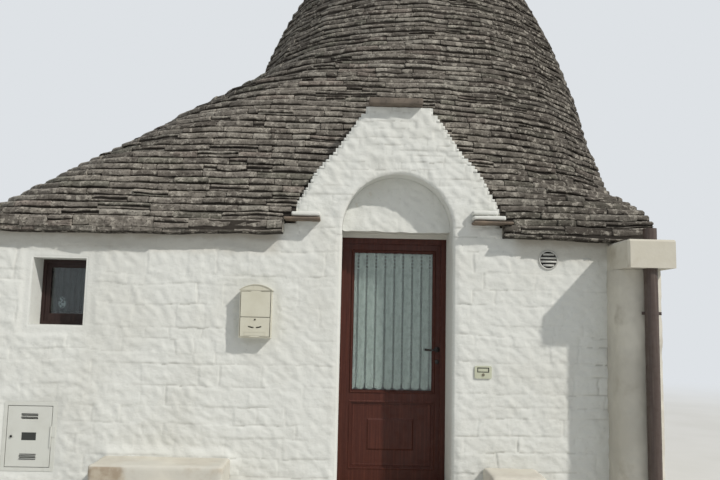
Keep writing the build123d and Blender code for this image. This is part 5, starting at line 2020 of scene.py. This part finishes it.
@dataclass
class FrontDoor:
    """Mouldings, lever, lock and hinge pins of the glazed front door."""
    leaf_front: float = -1.983
    pane: Pair = (-0.653, 0.043)
    glass: Pair = (0.920, 2.105)
    panel: Pair = (0.295, 0.830)
    lever: Vector = field(default_factory=lambda: Vector((0.073, -1.983, 1.280)))
    field_x: Pair = (-0.512, -0.118)
    field_z: Pair = (0.436, 0.698)
    lock_below: float = 0.103

    def moulding(
        self, name: str, x: Pair, z: Pair, y: float, wide: float, proud: float,
    ) -> Piece:
        """Frame of moulding with mitred corners.

        Args:
            name: Name of the piece.
            x: Its outer edges across.
            z: Its outer edges in height.
            y: Face that it sits on.
            wide: Width of the moulding.
            proud: How far it stands out.

        Returns:
            The frame.
        """
        section = [
            (0.0, -0.001), (0.0, proud * 0.45), (wide * 0.12, proud * 0.85), (wide * 0.30, proud),
            (wide * 0.48, proud * 0.92), (wide * 0.60, proud * 0.60), (wide * 0.78, proud * 0.36),
            (wide, proud * 0.22), (wide, -0.001),
        ]
        verts = []
        for a, b in ((0, 0), (1, 0), (1, 1), (0, 1)):
            for inward, out in section:
                verts.append((x[a] + (1 - 2 * a) * inward, y - out, z[b] + (1 - 2 * b) * inward))
        count = len(section)
        faces = []
        for corner in range(4):
            for k in range(count - 1):
                a = corner * count + k
                b = ((corner + 1) % 4) * count + k
                faces.append((a, b, b + 1, a + 1))
        return faced_outward(mesh_piece(name, verts, faces, False), 1)

    def raised_field(self, finish: Finish) -> None:
        """Lower panel with a low raised field.

        Args:
            finish: The material.
        """
        low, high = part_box("door_panel")
        base = low.y + 0.008
        x, z, slope = self.field_x, self.field_z, 0.013
        verts = [(a, y, b) for y in (high.y, base) for b in (low.z, high.z) for a in (low.x, high.x)]
        verts += [(a, base, b) for b in z for a in x]
        verts += [(a, low.y, b) for b in (z[0] + slope, z[1] - slope) for a in (x[0] + slope, x[1] - slope)]
        faces = [(0, 1, 3, 2), (0, 4, 5, 1), (2, 3, 7, 6), (0, 2, 6, 4), (1, 5, 7, 3), (12, 13, 15, 14)]
        for a in (4, 8):
            faces += [(a, a + 1, a + 5, a + 4), (a + 1, a + 3, a + 7, a + 5)]
            faces += [(a + 3, a + 2, a + 6, a + 7), (a + 2, a, a + 4, a + 6)]
        obj = faced_outward(mesh_piece("door_raised_field", verts, faces, False))
        dress(obj, "front_door", "door_brown", finish)
        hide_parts("door_panel")

    def grip(self, share: float) -> list[Pair]:
        """Section of the lever at a share of its length."""
        return oval(0.0155 - 0.003 * math.sin(share * math.pi), 0.0165 + 0.003 * share)

    def levers(self, finish: Finish) -> None:
        """Curved lever on both faces, on its spindle and plates.

        Args:
            finish: The material.
        """
        low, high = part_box("door_handle")
        parts = []
        for face, sign in ((low.y, 1), (high.y, -1)):
            y = face + sign * 0.0088
            pivot = Vector((self.lever.x, y, self.lever.z))
            line = [
                pivot + Vector((0.0055 - t * 0.114, 0, -0.010 * math.sin(t * math.pi) * 0.5))
                for t in [i / 14 for i in range(15)]
            ]
            parts.append(swept("grip", line, self.grip, Vector((0, 1, 0))))
            plate = low.y + 0.042 if sign > 0 else high.y - 0.042
            start = y - sign * 0.002
            length = abs(plate - start) + 0.008
            neck = [
                (0.0105, 0.0), (0.0095, 0.006), (0.0085, length * 0.4), (0.0095, length - 0.010),
                (0.013, length - 0.008), (0.019, length - 0.0078), (0.0225, length - 0.006),
                (0.0238, length - 0.003), (0.024, length),
            ]
            post = lathe("post", neck, Vector((0, 0, 0)), 28)
            turn = Matrix.Rotation(-math.pi / 2 * sign, 4, "X")
            post.data.transform(Matrix.Translation((self.lever.x, start, self.lever.z)) @ turn)
            parts.append(post)
        obj = dress(joined("door_levers", parts), "door_lever", "black_handle", finish)
        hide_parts("door_handle")

    def lock(self, finish: Finish) -> None:
        """Cylinder ring with its keyway, under the lever.

        Args:
            finish: The material.
        """
        profile = [
            (0.010, 0.0), (0.0175, 0.0), (0.0185, 0.001), (0.0185, 0.0035), (0.0165, 0.0055),
            (0.0135, 0.0062), (0.0105, 0.0062),
        ]
        place = (self.lever.x, self.leaf_front - 0.0002, self.lever.z - self.lock_below)
        ring = turned_out(profile, place, "lock_ring", 32)
        dress(ring, "front_door", "black_handle", finish)

    def build(self, finishes: dict[str, Finish]) -> None:
        """Builds the door's details, some in place of its solids.

        Args:
            finishes: The materials by name.
        """
        wood = finishes["door_brown"]
        self.raised_field(wood)
        set_in = 0.012
        for name, x, z, y, wide, proud in (
            ("glass_moulding", self.pane, self.glass, self.leaf_front, -0.016, 0.009),
            ("panel_moulding", self.pane, self.panel, self.leaf_front, -0.018, 0.005),
            (
                "panel_inner_moulding", (self.pane[0] + set_in, self.pane[1] - set_in),
                (self.panel[0] + set_in, self.panel[1] - set_in), self.leaf_front + 0.016, 0.030, 0.006,
            ),
        ):
            dress(self.moulding(name, x, z, y, wide, proud), "front_door", "door_brown", wood)
        self.levers(finishes["black_handle"])
        self.lock(finishes["black_handle"])


@dataclass
class SmallFittings:
    """Painted shade in the slots and behind the vent's louvres, dark lock faces, the frame of the bell's
    card, louvres of the vent and a blank cover.
    """
    slots: tuple[float, ...] = (0.740, 0.716, 0.400, 0.424)
    meter: Pair = (-3.140, 0.570)
    louvres: int = 4
    louvre_half: float = 0.008
    vent_rim: float = 0.012
    card: Pair = (1.128, 1.160)
    cover_place: Triple = (1.225, -2.400, 2.042)

    def plate(self, x: Pair, y: Pair, z: Pair) -> Piece:
        """Small plain block between pairs of limits."""
        verts, faces = cut_block(Vector((x[0], y[0], z[0])), Vector((x[1], y[1], z[1])), 9.0)
        return mesh_piece("plate", verts, faces, False)

    def meter_door(self, dark: Finish) -> None:
        """Dark plates as painted shade at the backs of the slots, and the face of the lock.

        Args:
            dark: The material.
        """
        low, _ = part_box("meter_door")
        x, level = self.meter
        half = 0.0635
        deep = (low.y + 0.0055, low.y + 0.0075)
        # Painted shade: dark plates at the backs of the slots
        parts = [self.plate((x - half, x + half), deep, (z - 0.0030, z + 0.0030)) for z in self.slots]
        face = [(0.009, 0.0), (0.0098, 0.0004), (0.008, 0.0012)]
        parts.append(turned_out(face, (x - 0.132, low.y + 0.0008, level)))
        dress(joined("meter_door_slots", parts), "meter_door", "black_handle", dark)

    def letter_lock(self, dark: Finish) -> None:
        """Face of the letter box's lock.

        Args:
            dark: The material.
        """
        low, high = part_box("letter_box_door")
        place = ((low.x + high.x) / 2, low.y + 0.0006, high.z - 0.016)
        face = turned_out([(0.0066, 0.0), (0.0076, 0.0004), (0.006, 0.0010)], place, "letter_lock_face")
        dress(face, "letter_door", "black_handle", dark)

    def bell_card(self, dark: Finish) -> None:
        """Narrow dark frame round the bell's card.

        Args:
            dark: The material.
        """
        low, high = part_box("bell_plate")
        middle, half, rim, z = (low.x + high.x) / 2, 0.044, 0.0032, self.card
        x = (middle - half, middle + half)
        y = (low.y - 0.0006, low.y + 0.0024)
        across = (x[0] - rim, x[1] + rim)
        upward = (z[0] + rim, z[1] - rim)
        parts = [self.plate(across, y, (edge - rim, edge + rim)) for edge in z]
        parts += [self.plate((edge - rim, edge + rim), y, upward) for edge in x]
        dress(joined("bell_card_frame", parts), "house", "black_handle", dark)

    def vent(self, white: Finish, dark: Finish) -> None:
        """Ring with broad louvres, and a dark disc behind them as painted shadow in the duct.

        Args:
            white: Finish of the louvres.
            dark: Finish of the painted shadow disc behind them.
        """
        low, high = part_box("vent_grille")
        x, z, radius = (low.x + high.x) / 2, (low.z + high.z) / 2, (high.x - low.x) / 2
        inner, deep = radius - self.vent_rim, high.y - low.y
        ring = [
            (inner, 0.0), (radius, 0.0), (radius, deep * 0.7), (radius - 0.003, deep), (radius - 0.010, deep),
            (inner, deep * 0.8), (inner, 0.0006),
        ]
        parts = [turned_out(ring, (x, high.y, z))]
        pitch = 2 * inner / (self.louvres + 0.6)
        for i in range(self.louvres):
            rise = (i - (self.louvres - 1) / 2) * pitch
            half = math.sqrt(inner ** 2 - (abs(rise) + 0.006) ** 2)
            level = (z + rise - self.louvre_half, z + rise + self.louvre_half)
            parts.append(self.plate((x - half, x + half), (low.y + 0.0012, low.y + 0.006), level))
        obj = dress(joined("vent_louvres", parts), "house", "vent_white", white)
        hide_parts("vent_grille")
        # Painted shadow: a dark disc in the duct behind the louvres
        disc = [(radius - 0.0135, 0.0), (radius - 0.0135, 0.0008)]
        back = turned_out(disc, (x, high.y - 0.0035, z), "vent_shadow")
        dress(back, "house", "black_handle", dark)

    def cover(self, white: Finish) -> None:
        """Small oval blank cover between the vent and the pier.

        Args:
            white: The material.
        """
        profile = [(0.030, 0.0), (0.0335, 0.002), (0.032, 0.006), (0.026, 0.009)]
        made = turned_out(profile, (0, 0, 0), "oval_cover")
        flattened = Matrix.Diagonal((1.2, 1.0, 0.45, 1.0))
        made.data.transform(Matrix.Translation(self.cover_place) @ flattened)
        dress(made, "house", "vent_white", white)

    def build(self, finishes: dict[str, Finish]) -> None:
        """Builds the small fittings.

        Args:
            finishes: The materials by name.
        """
        dark = finishes["dark_parts_and_painted_shade"]
        self.meter_door(dark)
        self.letter_lock(dark)
        self.bell_card(dark)
        self.vent(finishes["vent_white"], dark)
        self.cover(finishes["vent_white"])


def seen_directly(tree: bpy.types.NodeTree) -> Socket:
    """Share of a ray that comes from the camera, off something glossy or through a pane.

    Args:
        tree: Node tree of the world or the floor.

    Returns:
        1 for such a ray, 0 for light that falls on the house.
    """
    path = tree.nodes.new("ShaderNodeLightPath")
    found = path.outputs["Is Camera Ray"]
    for name in ("Is Glossy Ray", "Is Transmission Ray"):
        either = tree.nodes.new("ShaderNodeMath")
        either.operation = "MAXIMUM"
        tree.links.new(found, either.inputs[0])
        tree.links.new(path.outputs[name], either.inputs[1])
        found = either.outputs[0]
    return found


@dataclass
class Studio:
    """Camera at the photograph's angle, pale floor, an even sky and a sun through haze."""
    eye: Triple = (-0.73, -8.17, 1.52)
    pitch: float = 6.3
    yaw: float = 1.2
    roll: float = 1.2
    lens: float = 36.05
    sun: Triple = (-0.62, 0.49, -0.68)
    sun_energy: float = 2.80
    sun_angle: float = 1.6
    sky_strength: float = 0.54
    backdrop: Tint = srgb(222, 226, 230)
    rings: tuple[float, ...] = (9, 16, 40, 90)
    spokes: int = 48

    def camera(self) -> None:
        """Places the camera."""
        p, y, r = (math.radians(a) for a in (self.pitch, self.yaw, self.roll))
        ahead = Vector((math.sin(y) * math.cos(p), math.cos(y) * math.cos(p), math.sin(p)))
        flat = Vector((math.cos(y), -math.sin(y), 0))
        upper = flat.cross(ahead)
        right = flat * math.cos(r) + upper * math.sin(r)
        up = upper * math.cos(r) - flat * math.sin(r)
        data = bpy.data.cameras.new("camera")
        data.lens = self.lens
        data.sensor_width = 36.0
        data.clip_end = 200.0
        obj = bpy.data.objects.new("camera", data)
        obj.matrix_world = Matrix((
            (right.x, up.x, -ahead.x, self.eye[0]), (right.y, up.y, -ahead.y, self.eye[1]),
            (right.z, up.z, -ahead.z, self.eye[2]), (0, 0, 0, 1),
        ))
        bpy.context.scene.collection.objects.link(obj)
        bpy.context.scene.camera = obj

    def light(self) -> None:
        """Sun through haze and an even sky."""
        data = bpy.data.lights.new("sun", "SUN")
        data.energy = self.sun_energy
        data.angle = math.radians(self.sun_angle)
        data.color = (1.0, 0.965, 0.91)
        obj = bpy.data.objects.new("sun", data)
        obj.rotation_euler = Vector(self.sun).to_track_quat("-Z", "Y").to_euler()
        bpy.context.scene.collection.objects.link(obj)
        world = bpy.data.worlds.new("sky")
        world.use_nodes = True
        nodes = world.node_tree.nodes
        base = nodes["Background"]
        base.inputs[0].default_value = (0.90, 0.95, 1.0, 1)
        base.inputs[1].default_value = self.sky_strength
        seen = nodes.new("ShaderNodeBackground")
        seen.inputs[0].default_value = (*self.backdrop, 1)
        mix = nodes.new("ShaderNodeMixShader")
        sources = (seen_directly(world.node_tree), base.outputs[0], seen.outputs[0])
        for source, socket in zip(sources, mix.inputs):
            world.node_tree.links.new(source, socket)
        world.node_tree.links.new(mix.outputs[0], nodes["World Output"].inputs[0])
        bpy.context.scene.world = world
        bpy.context.scene.view_settings.view_transform = "Standard"

    def floor(self) -> None:
        """Plain pale ground that fades into the backdrop."""
        turns = [2 * math.pi * i / self.spokes for i in range(self.spokes)]
        verts = [(0, 0, 0)] + [
            (radius * math.cos(turn), radius * math.sin(turn), 0) for radius in self.rings for turn in turns
        ]
        faces = []
        for i in range(self.spokes):
            after = (i + 1) % self.spokes
            faces.append((0, 1 + i, 1 + after))
            for ring in range(len(self.rings) - 1):
                a = 1 + ring * self.spokes
                b = a + self.spokes
                faces.append((a + i, b + i, b + after, a + after))
        obj = mesh_piece("floor_plane", verts, faces)
        r = Recipe("pale_floor", srgb(205, 204, 200), 0.9)
        colour = r.blend(r.span(r.grain(0.8, 4), 0.3, 0.7), srgb(202, 201, 197), srgb(208, 207, 204))
        finish = r.done(colour=colour, Specular_IOR_Level=0.1)
        distance = r.node("ShaderNodeVectorMath", operation="LENGTH")
        r.put(distance, 0, r.place)
        far = r.span(distance.outputs["Value"], 6.0, 15.0)
        seen = seen_directly(r.tree)
        glow = r.node("ShaderNodeEmission")
        r.put(glow, 0, (*self.backdrop, 1))
        mix = r.node("ShaderNodeMixShader")
        r.put(mix, 0, r.times(far, seen))
        r.put(mix, 1, r.shader.outputs[0])
        r.put(mix, 2, glow.outputs[0])
        r.tree.links.new(mix.outputs[0], r.tree.nodes["Material Output"].inputs[0])
        obj.data.materials.append(finish)

    def build(self) -> None:
        """Sets up the studio."""
        self.camera()
        self.light()
        self.floor()


def finishes() -> dict[str, Finish]:
    """Makes every finish once.

    Returns:
        The materials by name.
    """
    low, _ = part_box("window_curtain")
    flower = (low.x + 0.085, low.z + 0.085)
    recipes = (
        Limewash(),
        Limewash("limewash_plain", stained=False),
        Limewash("limewash_inside", white=srgb(206, 204, 196), stained=False),
        RoofStone(),
        # Dark outside as painted shade in the gaps between the slabs; pale limewash on the faces that look
        # inward
        BareStone(
            "roof_core_painted_shade", srgb(60, 55, 50), srgb(46, 42, 38), srgb(30, 27, 24), lining=srgb(192, 188, 177),
        ),
        BareStone("cap_slab", srgb(116, 106, 96), srgb(100, 92, 84), srgb(70, 63, 57), 7),
        BareStone("foot_stone", srgb(126, 112, 98), srgb(106, 96, 86), srgb(76, 67, 59), 9),
        BareStone("paving", srgb(186, 180, 166), srgb(164, 157, 143), srgb(120, 112, 100), 4, 0.55),
        LimedStone("seat_left", srgb(196, 193, 183), srgb(180, 170, 153), srgb(158, 144, 126), 0.55),
        LimedStone("seat_right", srgb(194, 189, 178), srgb(188, 175, 160), srgb(168, 150, 134), 0.40),
        LimedStone("pier_plaster", srgb(186, 182, 171), srgb(180, 175, 163), srgb(170, 164, 151), 0.20),
        LimedStone("pier_cap_block", srgb(196, 191, 177), srgb(186, 180, 164), srgb(174, 166, 149), 0.25),
        GlossPaint("pipe_brown", srgb(68, 55, 49), srgb(84, 72, 65), 0.55, 0.0),
        GlossPaint("door_brown", srgb(64, 27, 17), srgb(80, 39, 27), 0.46, 0.04, shine=0.30),
        GlossPaint("window_brown", srgb(42, 28, 26), srgb(56, 40, 36), 0.50, 0.03, shine=0.28),
        GlossPaint("black_handle", srgb(30, 27, 26), srgb(58, 52, 48), 0.28, 0.2, 0.6),
        Pane("clear_glass", srgb(232, 240, 238), 1.0),
        Pane("smoked_pane", srgb(52, 54, 52), 0.0),
        Lace(),
        # Painted shade: the window's net is a darker copy of the white lace
        Lace("lace_painted_shade", srgb(98, 104, 107), srgb(48, 53, 57), 0.048, flower=flower, depth=0.95),
        # Dark lock faces and card frame, and painted shade at the backs of the meter's slots and behind the
        # vent's louvres
        Moulded("dark_parts_and_painted_shade", srgb(30, 29, 28), srgb(44, 42, 40), 0.7),
        Moulded("meter_white", srgb(202, 203, 196), srgb(172, 171, 160), 0.42),
        Moulded("letter_cream", srgb(200, 197, 180), srgb(166, 160, 138), 0.40, 0.1),
        Moulded("bell_cream", srgb(188, 190, 168), srgb(160, 161, 138), 0.40),
        Moulded("bell_button", srgb(112, 106, 90), srgb(84, 78, 66), 0.35),
        Moulded("vent_white", srgb(190, 190, 184), srgb(140, 138, 130), 0.5),
    )
    return {recipe.name: recipe.make() for recipe in recipes}


# Finish of each solid that is shown as it is
SHOWN_SOLIDS = {
    "limewash": ("front_wall_left", "front_wall_right", "end_wall", "back_wall"),
    "limewash_inside": ("party_wall", "tympanum"),
    "limewash_plain": ("gable",),
    # The roof's solids, dark as painted shade where they show between the slabs
    "roof_core_painted_shade": RoofCourses.solids,
    "paving": ("floor", "door_step"),
    "pier_plaster": ("corner_pier",),
    "pier_cap_block": ("pier_cap",),
    "pipe_brown": ("downpipe", "pipe_clamp"),
    "door_brown": ("door_frame", "door_leaf"),
    "clear_glass": ("door_glass", "window_glass"),
    "window_brown": ("window_frame",),
    "smoked_pane": ("meter_sight_glass",),
    "meter_white": ("meter_box", "meter_door"),
    "letter_cream": ("letter_box", "letter_box_flap", "letter_box_door"),
    "bell_cream": ("bell_plate",),
    "bell_button": ("bell_button",),
}


def main() -> None:
    """Builds the house's dressing piece by piece."""
    logging.basicConfig(level=logging.INFO, format="%(message)s")
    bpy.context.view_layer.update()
    made = finishes()
    Studio().build()
    Walls().build(made["limewash"])
    GableFace().build(made["limewash_plain"])
    RoofCourses().build(made["roof_stone"], made["roof_core_painted_shade"])
    StoneSeats().build(made)
    Pinnacle().build(made["cap_slab"], made["limewash_plain"])
    PierAndPipe().build(made["pier_plaster"], made["pipe_brown"])
    FrontDoor().build(made)
    SmallFittings().build(made)
    LaceCurtain("door_lace", "door_curtain", "front_door").build(made["lace"])
    LaceCurtain(
        "window_lace", "window_curtain", "house", Net.FOLDS, 0.0034, fold=0.003, pitch=0.048,
    ).build(made["lace_painted_shade"])
    for name, nodes in SHOWN_SOLIDS.items():
        finish_nodes(made[name], *nodes)


if __name__ == "__main__":
    main()
